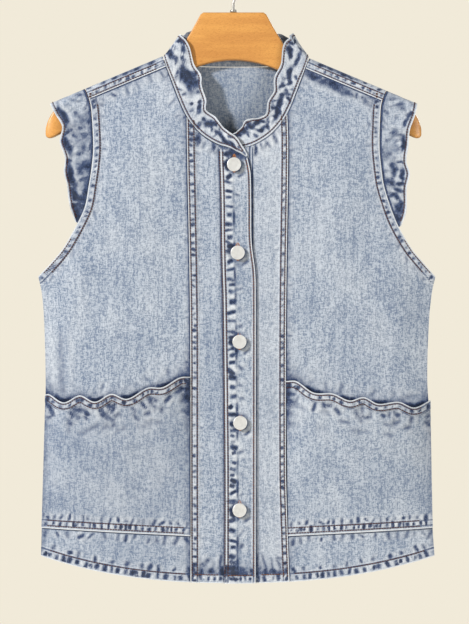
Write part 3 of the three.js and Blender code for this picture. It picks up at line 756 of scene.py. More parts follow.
class Nodes:
    """A short hand for building one material's nodes."""

    def __init__(self, name):
        self.material = bpy.data.materials.new(name)
        self.material.use_nodes = True
        self.tree = self.material.node_tree
        self.shader = self.tree.nodes["Principled BSDF"]
        self.place = self.tree.nodes.new("ShaderNodeTexCoord").outputs["Object"]

    def link(self, source, target):
        if hasattr(source, "links"):
            self.tree.links.new(source, target)
        elif target.type == "RGBA" and len(source) == 3:
            target.default_value = (*source, 1)
        else:
            target.default_value = source

    def attribute(self, name):
        node = self.tree.nodes.new("ShaderNodeAttribute")
        node.attribute_name = name
        return node.outputs["Fac"]

    def stretched(self, scale, turn=(0, 0, 0)):
        node = self.tree.nodes.new("ShaderNodeMapping")
        node.inputs["Scale"].default_value = scale
        node.inputs["Rotation"].default_value = turn
        self.link(self.place, node.inputs["Vector"])
        return node.outputs["Vector"]

    def noise(self, vector, scale=1.0, detail=2.0, rough=0.5):
        node = self.tree.nodes.new("ShaderNodeTexNoise")
        self.link(vector, node.inputs["Vector"])
        node.inputs["Scale"].default_value = scale
        node.inputs["Detail"].default_value = detail
        node.inputs["Roughness"].default_value = rough
        return node.outputs["Fac"]

    def wave(self, vector, scale=1.0, distortion=0.0, detail=1.0):
        node = self.tree.nodes.new("ShaderNodeTexWave")
        self.link(vector, node.inputs["Vector"])
        node.inputs["Scale"].default_value = scale
        node.inputs["Distortion"].default_value = distortion
        node.inputs["Detail"].default_value = detail
        return node.outputs["Fac"]

    def ramp(self, value, low, high, to_low=0.0, to_high=1.0):
        node = self.tree.nodes.new("ShaderNodeMapRange")
        node.interpolation_type = "SMOOTHSTEP"
        self.link(value, node.inputs["Value"])
        for socket, number in zip(("From Min", "From Max", "To Min", "To Max"), (low, high, to_low, to_high)):
            node.inputs[socket].default_value = number
        return node.outputs["Result"]

    def math(self, kind, first, second=0.0, clamp=False):
        node = self.tree.nodes.new("ShaderNodeMath")
        node.operation = kind
        node.use_clamp = clamp
        self.link(first, node.inputs[0])
        self.link(second, node.inputs[1])
        return node.outputs[0]

    def total(self, *parts):
        """A sum of values, each with its weight."""
        result = 0.0
        for value, weight in parts:
            result = self.math("ADD", self.math("MULTIPLY", value, weight), result)
        return result

    def mix(self, share, first, second):
        node = self.tree.nodes.new("ShaderNodeMix")
        node.data_type = "RGBA"
        self.link(share, node.inputs[0])
        self.link(first, node.inputs[6])
        self.link(second, node.inputs[7])
        return node.outputs[2]

    def bump(self, height, strength, distance):
        node = self.tree.nodes.new("ShaderNodeBump")
        node.inputs["Strength"].default_value = strength
        node.inputs["Distance"].default_value = distance
        self.link(height, node.inputs["Height"])
        self.link(node.outputs["Normal"], self.shader.inputs["Normal"])

    def finish(self, base, roughness, metallic=0.0):
        self.link(base, self.shader.inputs["Base Color"])
        self.link(roughness, self.shader.inputs["Roughness"])
        self.shader.inputs["Metallic"].default_value = metallic
        return self.material


def denim_material(colours):
    n = Nodes("stonewashed_denim")
    warp = n.noise(n.stretched((680, 680, 210)), 1, 2, 0.6)
    weft = n.noise(n.stretched((230, 230, 700)), 1, 2, 0.6)
    fleck = n.noise(n.stretched((760, 760, 760)), 1, 2, 0.6)
    slub = n.noise(n.stretched((330, 330, 16)), 1, 2, 0.5)
    cloud = n.noise(n.stretched((26, 26, 18)), 1, 3, 0.55)
    blot = n.noise(n.stretched((190, 190, 190)), 1, 3, 0.6)
    twill = n.wave(n.stretched((330, 330, 330), (0, math.radians(28), 0)), 1, 1.2, 1)
    grain = n.total((warp, 0.34), (weft, 0.3), (fleck, 0.3), (slub, 0.16), (twill, 0.05))
    woven = n.ramp(grain, 0.48, 0.66)
    base = n.mix(woven, colours.grain, colours.wash)
    base = n.mix(n.ramp(cloud, 0.4, 0.75, 0, 0.22), base, colours.grain)
    base = n.mix(n.ramp(cloud, 0.55, 0.3, 0, 0.15), base, colours.worn)
    base = n.mix(n.attribute("inside"), base, n.mix(woven, colours.grain, colours.inner))
    # The troughs stay dyed dark, and the yarn's crowns are still rubbed pale there. The same dark mix paints
    # shade: the lines beside lapped seams and buttons, the stitch grooves, the gaps and the pocket mouths,
    # and its darkest step is a near-black painted shadow
    uneven = n.math("SUBTRACT", n.total((blot, 1.5), (fleck, 1.1), (warp, 0.6), (weft, 0.4)), 0.8)
    kept = n.math("MULTIPLY", n.attribute("dye"), uneven)
    seam = n.math("MULTIPLY", n.ramp(n.attribute("shade"), 2.3, 0.2), n.math("ADD", 0.15, uneven))
    kept = n.math("MAXIMUM", kept, n.math("MULTIPLY", seam, 0.95))
    deep_dye_and_shadow = n.ramp(kept, 0.95, 1.5, 0, 0.85)
    kept = n.ramp(kept, 0.1, 1.0, 0, 0.95)
    kept = n.math("MAXIMUM", kept, n.ramp(n.attribute("row"), 1.35, 0.6, 0, 0.8))
    base = n.mix(kept, base, colours.indigo_and_shade)
    base = n.mix(deep_dye_and_shadow, base, tuple(0.3 * c for c in colours.indigo_and_shade))
    ridge = n.math("MULTIPLY", n.ramp(n.attribute("row"), 1.1, 1.6), n.ramp(n.attribute("row"), 3.0, 2.1))
    rubbed = n.math("MULTIPLY", n.attribute("worn"), n.math("ADD", 0.5, fleck), True)
    rubbed = n.math("MAXIMUM", rubbed, n.math("MULTIPLY", ridge, 0.45))
    rubbed = n.math("MULTIPLY", rubbed, n.math("SUBTRACT", 1, kept))
    edge = n.math("MULTIPLY", n.ramp(n.attribute("edge"), 1.7, 0.7), n.math("ADD", 0.35, blot), True)
    rubbed = n.math("MAXIMUM", rubbed, edge)
    base = n.mix(n.math("MULTIPLY", rubbed, 0.9), base, colours.worn)
    height = n.total((twill, 0.3), (warp, 0.35), (weft, 0.35), (fleck, 0.3))
    height = n.math("ADD", height, n.ramp(n.attribute("row"), 0, 1.6, -1.2, 0))
    n.bump(height, 0.6, 0.0006)
    material = n.finish(base, n.ramp(fleck, 0.3, 0.7, 0.82, 0.96))
    n.shader.inputs["Sheen Weight"].default_value = 0.1
    n.shader.inputs["Sheen Roughness"].default_value = 0.6
    n.shader.inputs["Specular IOR Level"].default_value = 0.2
    return material


def thread_material(name, first, second):
    n = Nodes(name)
    faded = n.noise(n.stretched((70, 70, 70)), 1, 2, 0.6)
    ply = n.wave(n.stretched((900, 900, 900), (0, math.radians(45), 0)), 1, 0.5, 1)
    n.bump(ply, 0.4, 0.0002)
    return n.finish(n.mix(n.ramp(faded, 0.5, 0.8, 0, 0.7), first, second), 0.75)


def metal_material(name, tone, roughness):
    n = Nodes(name)
    scuff = n.noise(n.stretched((900, 900, 240)), 1, 3, 0.6)
    cloud = n.noise(n.stretched((260, 260, 260)), 1, 2, 0.5)
    dull = n.mix(n.ramp(cloud, 0.4, 0.75, 0, 0.3), tone, tuple(0.72 * c for c in tone))
    n.bump(scuff, 0.25, 0.0001)
    return n.finish(dull, n.ramp(scuff, 0.3, 0.7, roughness - 0.06, roughness + 0.08), 0.55)


def wood_material(colours):
    n = Nodes("varnished_beech")
    figure = n.noise(n.stretched((9, 60, 75)), 1, 3, 0.6)
    rays = n.noise(n.stretched((330, 600, 2000)), 1, 2, 0.6)
    pores = n.noise(n.stretched((620, 900, 2600)), 1, 2, 0.6)
    base = n.mix(n.ramp(figure, 0.3, 0.7, 0, 0.45), colours.wood, colours.wood_dark)
    base = n.mix(n.ramp(rays, 0.54, 0.68, 0, 0.7), base, colours.wood_dark)
    base = n.mix(n.ramp(pores, 0.6, 0.68, 0, 0.5), base, tuple(0.55 * c for c in colours.wood_dark))
    n.bump(rays, 0.12, 0.0002)
    material = n.finish(base, n.ramp(figure, 0.3, 0.7, 0.34, 0.44))
    n.shader.inputs["Coat Weight"].default_value = 0.25
    n.shader.inputs["Coat Roughness"].default_value = 0.25
    return material


MATERIALS = {}


def material_of(name):
    """The named finish, made when it's first asked for."""
    colours = bpy.context.scene.vest_colours
    makers = {
        "denim": lambda: denim_material(colours),
        "thread": lambda: thread_material("topstitch_thread", colours.thread, colours.rust),
        "rust": lambda: thread_material("rust_thread", colours.rust, colours.buttonhole),
        "buttonhole": lambda: thread_material("buttonhole_thread", colours.buttonhole, colours.rust),
        "metal": lambda: metal_material("matte_button_metal", colours.metal, 0.42),
        "steel": lambda: metal_material("hook_steel", colours.steel, 0.3),
        "wood": lambda: wood_material(colours),
    }
    if name not in MATERIALS:
        MATERIALS[name] = makers[name]()
    return MATERIALS[name]


# Meshes
def new_object(name, points, faces, material, fields=None):
    mesh = bpy.data.meshes.new(name)
    mesh.from_pydata((points * MM).tolist(), [], faces)
    mesh.update()
    for key, values in (fields or {}).items():
        mesh.attributes.new(key, "FLOAT", "POINT").data.foreach_set("value", values.astype(np.float32))
    mesh.materials.append(material_of(material))
    made = bpy.data.objects.new(name, mesh)
    bpy.context.scene.collection.objects.link(made)
    return made


def only(made):
    bpy.ops.object.select_all(action="DESELECT")
    made.select_set(True)
    bpy.context.view_layer.objects.active = made


def finished(made, *nodes, slot):
    """Puts a piece on the body in place of its solids."""
    only(made)
    bpy.ops.object.shade_smooth_by_angle(angle=math.radians(50))
    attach(made, "root")
    if nodes:
        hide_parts(*nodes)


def bevelled(made, name, width, segments, angle=30):
    """Rounds the sharp edges of a piece."""
    bevel = made.modifiers.new(name, "BEVEL")
    bevel.width = width
    bevel.segments = segments
    bevel.limit_method = "ANGLE"
    bevel.angle_limit = math.radians(angle)
    only(made)
    bpy.ops.object.modifier_apply(modifier=bevel.name)


def placed_primitive(name):
    """Names the new primitive and puts its place into its mesh."""
    made = bpy.context.object
    made.name = name
    bpy.ops.object.transform_apply(location=True, rotation=True, scale=True)
    return made


def unit(v):
    return v / np.maximum(np.linalg.norm(v, axis=-1, keepdims=True), 1e-9)


def grid_normals(points):
    """Outward normals of a grid whose rows run up and whose columns run right."""
    right = np.gradient(points, axis=1)
    up = np.gradient(points, axis=0)
    return unit(np.cross(right, up))


def cloth(name, points, thick, sewn, present=None):
    """A thin closed sheet with its relief and wear, from a grid of points on its outer face."""
    high, wide = points.shape[:2]
    strength = bpy.context.scene.vest_sizes.pucker
    normals = grid_normals(points)
    outer = points + normals * (sewn.relief * strength)[..., None]
    inner = outer - grid_normals(outer) * thick / MM
    index = np.arange(high * wide).reshape(high, wide)
    a, b, c, d = index[:-1, :-1], index[:-1, 1:], index[1:, 1:], index[1:, :-1]
    quads = np.stack([a, b, c, d], -1)
    if present is not None:
        quads = quads[present]
    quads = quads.reshape(-1, 4)
    count = high * wide
    edges = np.concatenate([quads[:, [k, (k + 1) % 4]] for k in range(4)])
    code = edges[:, 0] * count + edges[:, 1]
    lonely = edges[~np.isin(code, edges[:, 1] * count + edges[:, 0])]
    p, q = lonely[:, 0], lonely[:, 1]
    rims = np.stack([q, p, p + count, q + count], -1)
    faces = np.concatenate([quads, quads[:, ::-1] + count, rims])
    used, faces = np.unique(faces, return_inverse=True)
    faces = faces.reshape(-1, 4)
    both = np.concatenate([outer.reshape(-1, 3), inner.reshape(-1, 3)])[used]
    behind = {"dye": 0.05, "worn": 0, "edge": 9, "row": 9, "shade": 9}
    values = {key: getattr(sewn, key) for key in behind}
    values["dye"], values["worn"] = np.clip(sewn.dye, 0, 1.7), np.clip(sewn.worn, 0, 1)
    fields = {
        key: np.concatenate([values[key].reshape(-1), np.full(count, float(rear))])[used]
        for key, rear in behind.items()
    }
    fields["inside"] = (used >= count).astype(float)
    made = new_object(f"{name}_cloth", both, faces.tolist(), "denim", fields)
    finished(made, name, slot="denim")
    flat, area, rests_on = SHEETS[name]
    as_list(rests_on)
    return outer, grid_normals(outer)


THREADS = {}


def stitch(kind, path, normals):
    """Topstitches along a path on the cloth: short raised lengths of thread."""
    sizes = bpy.context.scene.vest_sizes
    pitch, radius = sizes.stitch / MM, sizes.thread / MM
    runs = lengths_along(path)
    count = int(runs[-1] / pitch)
    if count < 1:
        return
    starts = (np.arange(count) + 0.12) * pitch
    ends = starts + pitch * 0.84

    def at(values, where):
        return np.stack([np.interp(where, runs, values[:, k]) for k in range(3)], -1)

    first, last = at(path, starts), at(path, ends)
    out = unit(at(normals, (starts + ends) / 2))
    THREADS.setdefault(kind, []).append((first, last, out, np.full(count, radius)))


def thread_mesh(name, kind, slot):
    """Joins all the stitches of one kind into a mesh of small capsules."""
    sides = 5
    shares = np.array([0.0, 0.12, 0.5, 0.88, 1.0])
    widths = np.array([0.35, 0.85, 1.0, 0.85, 0.35])
    lifts = np.array([-0.35, 0.1, 0.45, 0.1, -0.35])
    points, faces = [], []
    first, last, out, radius = (np.concatenate(part) for part in zip(*THREADS[kind]))
    run = last - first
    aside = unit(np.cross(run, out))
    up = unit(np.cross(aside, run))
    for share, width, lift in zip(shares, widths, lifts):
        middle = first + run * share + up * (lift * radius)[:, None]
        for k in range(sides):
            angle = 2 * math.pi * k / sides
            reach = (radius * width)[:, None]
            points.append(middle + aside * reach * math.cos(angle) + up * reach * math.sin(angle))
    points = np.stack(points, 1)
    per = points.shape[1]
    ring = []
    for s in range(len(shares) - 1):
        for k in range(sides):
            m = (k + 1) % sides
            ring.append((s * sides + k, (s + 1) * sides + k, (s + 1) * sides + m, s * sides + m))
    last = (len(shares) - 1) * sides
    caps = [tuple(range(sides)), tuple(reversed(range(last, last + sides)))]
    for c in range(len(points)):
        faces += [tuple(v + c * per for v in face) for face in ring + caps]
    made = new_object(name, points.reshape(-1, 3), faces, kind)
    finished(made, slot=slot)


def on_face(line, face, lift, sew):
    """The path of a row of stitches on the front or the back."""
    runs = lengths_along(line)
    fine = np.arange(0, runs[-1], 1.2)
    x, z = np.interp(fine, runs, line[:, 0]), np.interp(fine, runs, line[:, 1])
    sewn = Sewn(x, z)
    sew(sewn)
    relief = sewn.relief * bpy.context.scene.vest_sizes.pucker
    y = front_y(x, z) - lift - relief if face < 0 else back_y(x, z) + relief
    normals = np.tile([0.0, float(face), 0.0], (len(x), 1))
    return np.stack([x, y, z], -1), normals


def stitch_row(kind, line, sew, face=-1, lift=0.0):
    """A row of stitches on the front or the back."""
    stitch(kind, *on_face(line, face, lift, sew))


def unsewn(s):
    """Leaves the cloth as it is."""


def cut(line, low=-1e9, high=1e9, axis=1):
    """The part of a line between two heights, or two x."""
    keep = (line[:, axis] >= low) & (line[:, axis] <= high)
    return line[keep]


# How each piece was sewn, and the shade painted on it
def sew_hem(s, seed):
    s.band(LINES["hem"], HEM_BAND, 0.5)
    s.puckers(LINES["hem"], seed, 8.5, 5.2, 4.0, 2.3, 0.45, 1.35, 0.25)
    s.puckers(LINES["hem"], seed + 1, 15, 14, 4.5, 2.4, 0.25, 0.9, 0.35)
    s.fold(LINES["hem"])
    s.stitched(LINES["hem"], HEM_ROW)


def sew_armhole(s, side, seed):
    line = LINES["armhole", side]
    s.band(line, ARMHOLE_BAND, 0.5)
    s.darker(0.26 * (1 - soft((s.gap(line) - 6.5) / 1.8)))
    s.puckers(line, seed, 7, 5, 2.5, 2, 0.4, 1.2, 0.3, side=-INWARD[side])
    s.shade = np.minimum(s.shade, np.abs(s.gap(line) - 10) + 0.9)
    s.puckers(line, seed + 1, 12, 12.5, 5, 2.4, 0.2, 0.5, 0.4, side=-INWARD[side])
    s.stitched(line, ARMHOLE_ROW)
    s.fold(line)


def mouth_gap(s, side):
    """How far points lie above the pocket's mouth, and how much its edge dips there."""
    line = LINES["mouth", side]
    even = np.convolve(np.pad(line[:, 1], 12, mode="edge"), np.ones(25) / 25, mode="valid")
    edge = column(MOUTH[side], "x", "z", s.a)
    dip = np.clip((np.interp(s.a, line[:, 0], even) - edge) / 4, 0, 1)
    return s.b - edge, dip


def sew_side_panel(side):
    def sew(s):
        seed = 10 if side == "left" else 20
        princess, into = LINES["princess", side], INWARD[side]
        s.halo(princess, 5, 0.66)
        s.seam(princess, -0.5)
        s.blots(PANEL_BLOTS)
        # A soft crease on the left: a shallow trough with painted shade along it
        if side == "left":
            s.trough(-206, -478, 1.6, 46, 6, 0.5, 0.42)
        s.puckers(princess, seed, 13, 4, 4, 2, 0.2, 0.55, side=into)
        sew_armhole(s, side, seed + 2)
        s.seam(LINES["shoulder", side], -0.3)
        s.halo(LINES["shoulder", side], 14, 0.34)
        s.puckers(LINES["shoulder", side], seed + 4, 12, 7, 6, 2.6, 0.3, 0.8, side=-1)
        s.seam(LINES["neck"], 0.4)
        s.halo(LINES["neck"], 8, 0.3)
        s.puckers(LINES["neck"], seed + 5, 14, 7, 6, 2.2, 0.2, 0.5, side=-1)
        s.halo(LINES["side", side], 9, 0.2)
        # Painted shadow inside the pocket and in the gap just above its mouth, deepest where the edge dips,
        # and darker cloth fading upward above the mouth, more towards its ends
        above, dip = mouth_gap(s, side)
        start, end = MOUTH[side]["x"][[0, -1]]
        ends = np.abs(np.cos((s.a - start) / (end - start) * math.pi)) ** 3
        shade = np.exp(-((np.maximum(above, 0) / 3) ** 2)) * (0.35 + 1.9 * dip)
        s.darker(shade + 0.62 * (0.35 + 0.65 * ends) * np.exp(-np.maximum(above, 0) / 19))
        s.puckers(LINES["mouth", side], seed + 6, 17, 10, 7, 3, 0.3, 0.5, 0.5)
    return sew


def sew_centre(side):
    def sew(s):
        seed = 30 if side == "left" else 40
        line = LINES["princess", side]
        wide = FELL_WIDE[side]
        s.band(line, wide - 1, 0.8)
        s.puckers(line, seed, 9, wide / 2 - 0.2, 3.3, 2.1, 0.4, 1.15, 0.3, side=-INWARD[side])
        s.puckers(line, seed + 1, 17, wide + 3, 3.4, 1.9, 0.2, 0.5, side=-INWARD[side])
        s.shade = np.minimum(s.shade, np.abs(s.gap(line) - wide) + 1.1)
        s.stitched(line, FELL_ROW, wide - FELL_FREE)
        s.fold(line)
        s.seam(LINES["neck"], 0.4)
        s.halo(LINES["neck"], 6, 0.35)
        s.puckers(LINES["neck"], seed + 2, 11, 7, 8, 2.4, 0.25, 0.85, side=-1)
        s.blots(PANEL_BLOTS)
        sew_hem(s, seed + 3)
        above = s.b - hem_z(s.a) - 10
        s.darker(0.8 * soft((above + 2.5) / 3) * np.exp(-np.maximum(above, 0) / 14))
        s.worn = s.worn + (0.0 if side == "left" else 0.16)
        s.puckers(LINES["hem"], seed + 5, 9, 22, 12, 2.6, 0.25, 0.7, 0.3)
        s.seam(LINES["placket", side], -0.1 if side == "right" else 0.3)
        s.halo(LINES["placket", side], 6, 0.5 if side == "right" else 0.25)
    return sew


def sew_over_placket(s):
    left, right = LINES["placket", "left"], LINES["placket", "right"]
    s.puckers(left, 50, 9, 10.4, 5.4, 2.7, 0.45, 1.45, 0.3, side=-1)
    s.puckers(left, 51, 22, 21, 5.5, 2.6, 0.2, 0.6, 0.5, side=-1)
    imprint = s.a - placket_x(s.b, "left") - 16
    uneven = 0.5 + 0.5 * np.sin(s.b / 7.3) * np.sin(s.b / 17.1 + 1)
    s.dye = np.maximum(s.dye, 1.15 * uneven * np.exp(-((imprint / 1.9) ** 2)))
    s.relief = s.relief + 0.35 * (1 - soft((imprint + 1) / 2.5))
    s.stitched(left, *PLACKET_ROWS)
    s.stitched(right, PLACKET_EDGE_ROW)
    s.fold(right)
    s.worn = np.maximum(s.worn, 1.2 * np.exp(-(((s.gap(left) - 2.7) / 1.0) ** 2)))
    sew_hem(s, 52)
    above = s.b - hem_z(s.a) - 10
    paler = 1 - 0.4 * soft((s.a - 14) / 14)
    s.darker(soft((above + 2.5) / 3) * np.exp(-np.maximum(above, 0) / 13) * paler)
    s.darker(0.8 * np.exp(-(((s.b - placket_top_z(s.a)) / 6) ** 2)))
    for number, (x, z) in enumerate(BUTTONS):
        ring = np.hypot(s.a - x, s.b - z)
        # A darker ring round each button, and a painted shadow line along its lower right edge
        s.darker(0.5 * np.exp(-(((ring - 9.5) / 3.5) ** 2)))
        toward = (s.a - x - s.b + z) / (1.42 * ring + 0.1)
        s.shade = np.minimum(s.shade, np.abs(ring - 8.4) + 1.6 * (1 - toward))
        s.relief = s.relief - 0.5 * np.exp(-((ring / 9) ** 2))
        s.trough(x - 9, z + 11, 2.4 + 0.2 * number, 8, 2.2, 0.3, 1.0)
        s.trough(x + 9, z - 12, 0.6, 7, 2.4, 0.25, 0.8)


def sew_under_placket(s):
    s.seam(LINES["under"], 0.2)
    s.stitched(LINES["under"], UNDER_ROW)
    s.seam(LINES["placket", "right"], -0.6)
    # Darker all over, more so towards the top where it shows beside the over placket's edge: painted shade
    s.darker(0.2 + 0.2 * soft((s.b + 275) / 30))
    sew_hem(s, 58)


def sew_pocket(side):
    def sew(s):
        seed = 60 if side == "left" else 75
        mouth, foot, princess = LINES["mouth", side], LINES["band", side], LINES["princess", side]
        s.band(mouth, 8.6, 0.6)
        s.stitched(mouth, *MOUTH_ROWS)
        s.fold(mouth)
        gap = s.gap(mouth)
        s.shade = np.minimum(s.shade, np.abs(gap - 9.9) + 0.6)
        s.puckers(mouth, seed, 8, 5.2, 2.6, 2, 0.3, 1.15, 0.6, side=-1)
        s.puckers(mouth, seed + 1, 10, 15, 6, 2.6, 0.6, 0.8, 0.6, turn=0.5, side=-1)
        s.puckers(mouth, seed + 2, 12, 25, 7, 2.8, 0.55, 0.55, 0.8, turn=1.0, side=-1)
        s.puckers(mouth, seed + 3, 24, 40, 12, 3.2, 0.35, 0.3, 0.4, turn=1.4, side=-1)
        below = np.maximum(column(MOUTH[side], "x", "z", s.a) - s.b, 0)
        s.seam(princess, -0.2)
        inner_end = np.exp(-((s.gap(princess) / 6) ** 2))
        s.darker(inner_end * (0.2 + 0.9 * np.exp(-((below / 50) ** 2))))
        s.darker(0.28 if side == "left" else 0.14)
        s.puckers(foot, seed + 4, 6.6, 6.6, 3.6, 1.9, 0.45, 1.5, 0.2)
        s.puckers(foot, seed + 5, 8, 14, 4.4, 2.2, 0.25, 1.05, 0.45)
        s.stitched(foot, *BAND_ROWS)
        s.band(foot, 9.5, 0.4)
        s.fold(foot)
        s.halo(LINES["side", side], 6, 0.3)
    return sew


def sew_band(side):
    def sew(s):
        seed = 90 if side == "left" else 95
        s.seam(LINES["band", side], -0.2)
        s.puckers(LINES["band", side], seed, 12, 6, 6, 2.3, 0.2, 0.7, 0.4, side=-1)
        sew_hem(s, seed + 2)
        s.darker(0.24 if side == "left" else 0.12)
        s.seam(LINES["princess", side])
        s.halo(LINES["princess", side], 6, 0.45)
        s.halo(LINES["side", side], 5, 0.35)
    return sew


def sew_back(s):
    sew_hem(s, 100)
    for side in SIDES:
        sew_armhole(s, side, 104 if side == "left" else 108)
        s.halo(LINES["side", side], 9, 0.2)
    neck = s.b - back_neck_z(s.a)
    s.darker(0.3 * np.exp(np.minimum(neck, 0) / 9))


# Operators
class PieceOperator(bpy.types.Operator):
    """Shared base of the operators that build pieces"""

    bl_options = {"REGISTER", "UNDO"}

    def execute(self, context):
        self.build(context.scene.vest_sizes)
        return {"FINISHED"}


def count_of(distance):
    return max(2, int(round(distance / (bpy.context.scene.vest_sizes.cell / MM))))


def front_piece(name, grid, lift, thick, sew):
    x, z = grid[..., 0], grid[..., 1]
    sewn = Sewn(x, z)
    sew(sewn)
    cloth(name, np.stack([x, front_y(x, z) - lift, z], -1), thick, sewn)


class VEST_OT_side_panels(PieceOperator):
    """The front side panels, from the princess seams out to the armholes"""

    bl_idname = "vest.side_panels"
    bl_label = "Side Panels"

    def build(self, sizes):
        for side in SIDES:
            arm = meet(lambda z: armhole_x(z, side), SHOULDER_SEAM, INWARD[side] * -175)
            neck = meet(lambda z: neck_x(z, side), SHOULDER_SEAM, INWARD[side] * -84)
            corner = corner_z(side)
            gap = SEAM * INWARD[side]

            def seam_z(x):
                return ridge_z(x) - SHOULDER_SEAM

            def inner_x(z):
                return np.where(z < corner, princess_x(z, side) - gap, neck_x(z, side))

            outer = along(lambda z: outer_x(z, side), BAND_OUTER, float(seam_z(arm)))
            inner = along(inner_x, BAND_INNER, float(seam_z(neck)))
            bottom = [float(side_x(BAND_OUTER, side)), float(inner_x(np.float64(BAND_INNER)))]
            top = [arm, neck]
            if side == "right":
                bottom, top, outer, inner = bottom[::-1], top[::-1], inner, outer
            v_tip = (TIP_Z - BAND_OUTER) / (float(seam_z(arm)) - BAND_OUTER)
            v_corner = (corner - BAND_INNER) / (float(seam_z(neck)) - BAND_INNER)
            vs = spaced(0, count_of(300), v_tip, count_of(180), v_corner, count_of(62), 1)
            us = np.linspace(0, 1, count_of(178))
            low_edge = across(lambda x: band_seam_z(x, side), *bottom)
            grid = patch(low_edge, across(seam_z, *top), outer, inner, us, vs)
            front_piece(f"side_panel_{side}", grid, 0, sizes.cloth, sew_side_panel(side))


def strip_grid(left_of, right_of, columns, count, top_z=neck_z):
    v = np.linspace(0, 1, count)[:, None]
    u = np.linspace(0, 1, columns)[None, :]
    rough = HEM_MIDDLE + (NECK_BOTTOM - HEM_MIDDLE) * v
    x_near = left_of(rough) + (right_of(rough) - left_of(rough)) * u
    z = hem_z(x_near) + (top_z(x_near) - hem_z(x_near)) * v
    x = left_of(z) + (right_of(z) - left_of(z)) * u
    z[-1] = top_z(x[-1])
    return np.stack([x, z], -1)


def under_edge(z):
    return UNDER_EDGE + 0 * z


class VEST_OT_centre_panels(PieceOperator):
    """The front centre panels with their felled princess seams"""

    bl_idname = "vest.centre_panels"
    bl_label = "Centre Panels"

    def build(self, sizes):
        spans = {
            "left": (lambda z: princess_x(z, "left"), lambda z: placket_x(z, "left") + PLACKET_LAP),
            "right": (lambda z: under_edge(z) + SEAM, lambda z: princess_x(z, "right")),
        }
        for side in SIDES:
            grid = strip_grid(*spans[side], 30, count_of(540))
            front_piece(f"centre_panel_{side}", grid, 0, sizes.cloth, sew_centre(side))


class VEST_OT_plackets(PieceOperator):
    """The button placket and the one under it"""

    bl_idname = "vest.plackets"
    bl_label = "Plackets"

    def build(self, sizes):
        edges = [lambda z: placket_x(z, "left"), lambda z: placket_x(z, "right")]
        under = strip_grid(lambda z: edges[0](z) + PLACKET_LAP + SEAM, under_edge, 18, count_of(500))
        front_piece("under_placket", under, 0, sizes.folded, sew_under_placket)
        over = strip_grid(*edges, 32, count_of(700), placket_top_z)
        front_piece("over_placket", over, sizes.folded / MM + SEAM, sizes.folded, sew_over_placket)


class VEST_OT_pockets(PieceOperator):
    """The patch pockets with their scalloped mouths"""

    bl_idname = "vest.pockets"
    bl_label = "Pockets"

    def build(self, sizes):
        for side in SIDES:
            table = MOUTH[side]
            gap = SEAM * INWARD[side]
            foot = np.sort([float(side_x(BAND_OUTER, side)), float(princess_x(BAND_INNER, side)) - gap])
            mouth = [table["x"][0], table["x"][-1]]
            mouth[1 if side == "left" else 0] -= gap
            u = np.linspace(0, 1, count_of(196))[None, :]
            v = np.linspace(0, 1, count_of(180))[:, None]
            x_foot, x_mouth = foot[0] + (foot[1] - foot[0]) * u, mouth[0] + (mouth[1] - mouth[0]) * u
            x = x_foot + (x_mouth - x_foot) * v
            z_foot = band_seam_z(x_foot, side)
            z = z_foot + (column(table, "x", "z", x_mouth) - z_foot) * v
            spread = 1 - np.abs(2 * u - 1) ** 4
            lift = SEAM + sizes.cloth / MM + POCKET_OPEN * spread * v**1.3
            front_piece(f"pocket_{side}", np.stack([x, z], -1), lift, sizes.cloth, sew_pocket(side))


class VEST_OT_lower_bands(PieceOperator):
    """The bands between the pockets and the hem"""

    bl_idname = "vest.lower_bands"
    bl_label = "Lower Bands"

    def build(self, sizes):
        for side in SIDES:
            gap = SEAM * INWARD[side]
            low = np.sort([float(side_x(HEM_MIDDLE, side)), float(princess_x(HEM_MIDDLE, side)) - gap])
            high = np.sort([float(side_x(BAND_OUTER, side)), float(princess_x(BAND_INNER, side)) - gap])
            u = np.linspace(0, 1, count_of(196))[None, :]
            v = np.linspace(0, 1, count_of(76))[:, None]
            x_low, x_high = low[0] + (low[1] - low[0]) * u, high[0] + (high[1] - high[0]) * u
            x = x_low + (x_high - x_low) * v
            z = hem_z(x_low) + (band_seam_z(x_high, side) - SEAM - hem_z(x_low)) * v
            front_piece(f"lower_band_{side}", np.stack([x, z], -1), 0, sizes.cloth, sew_band(side))


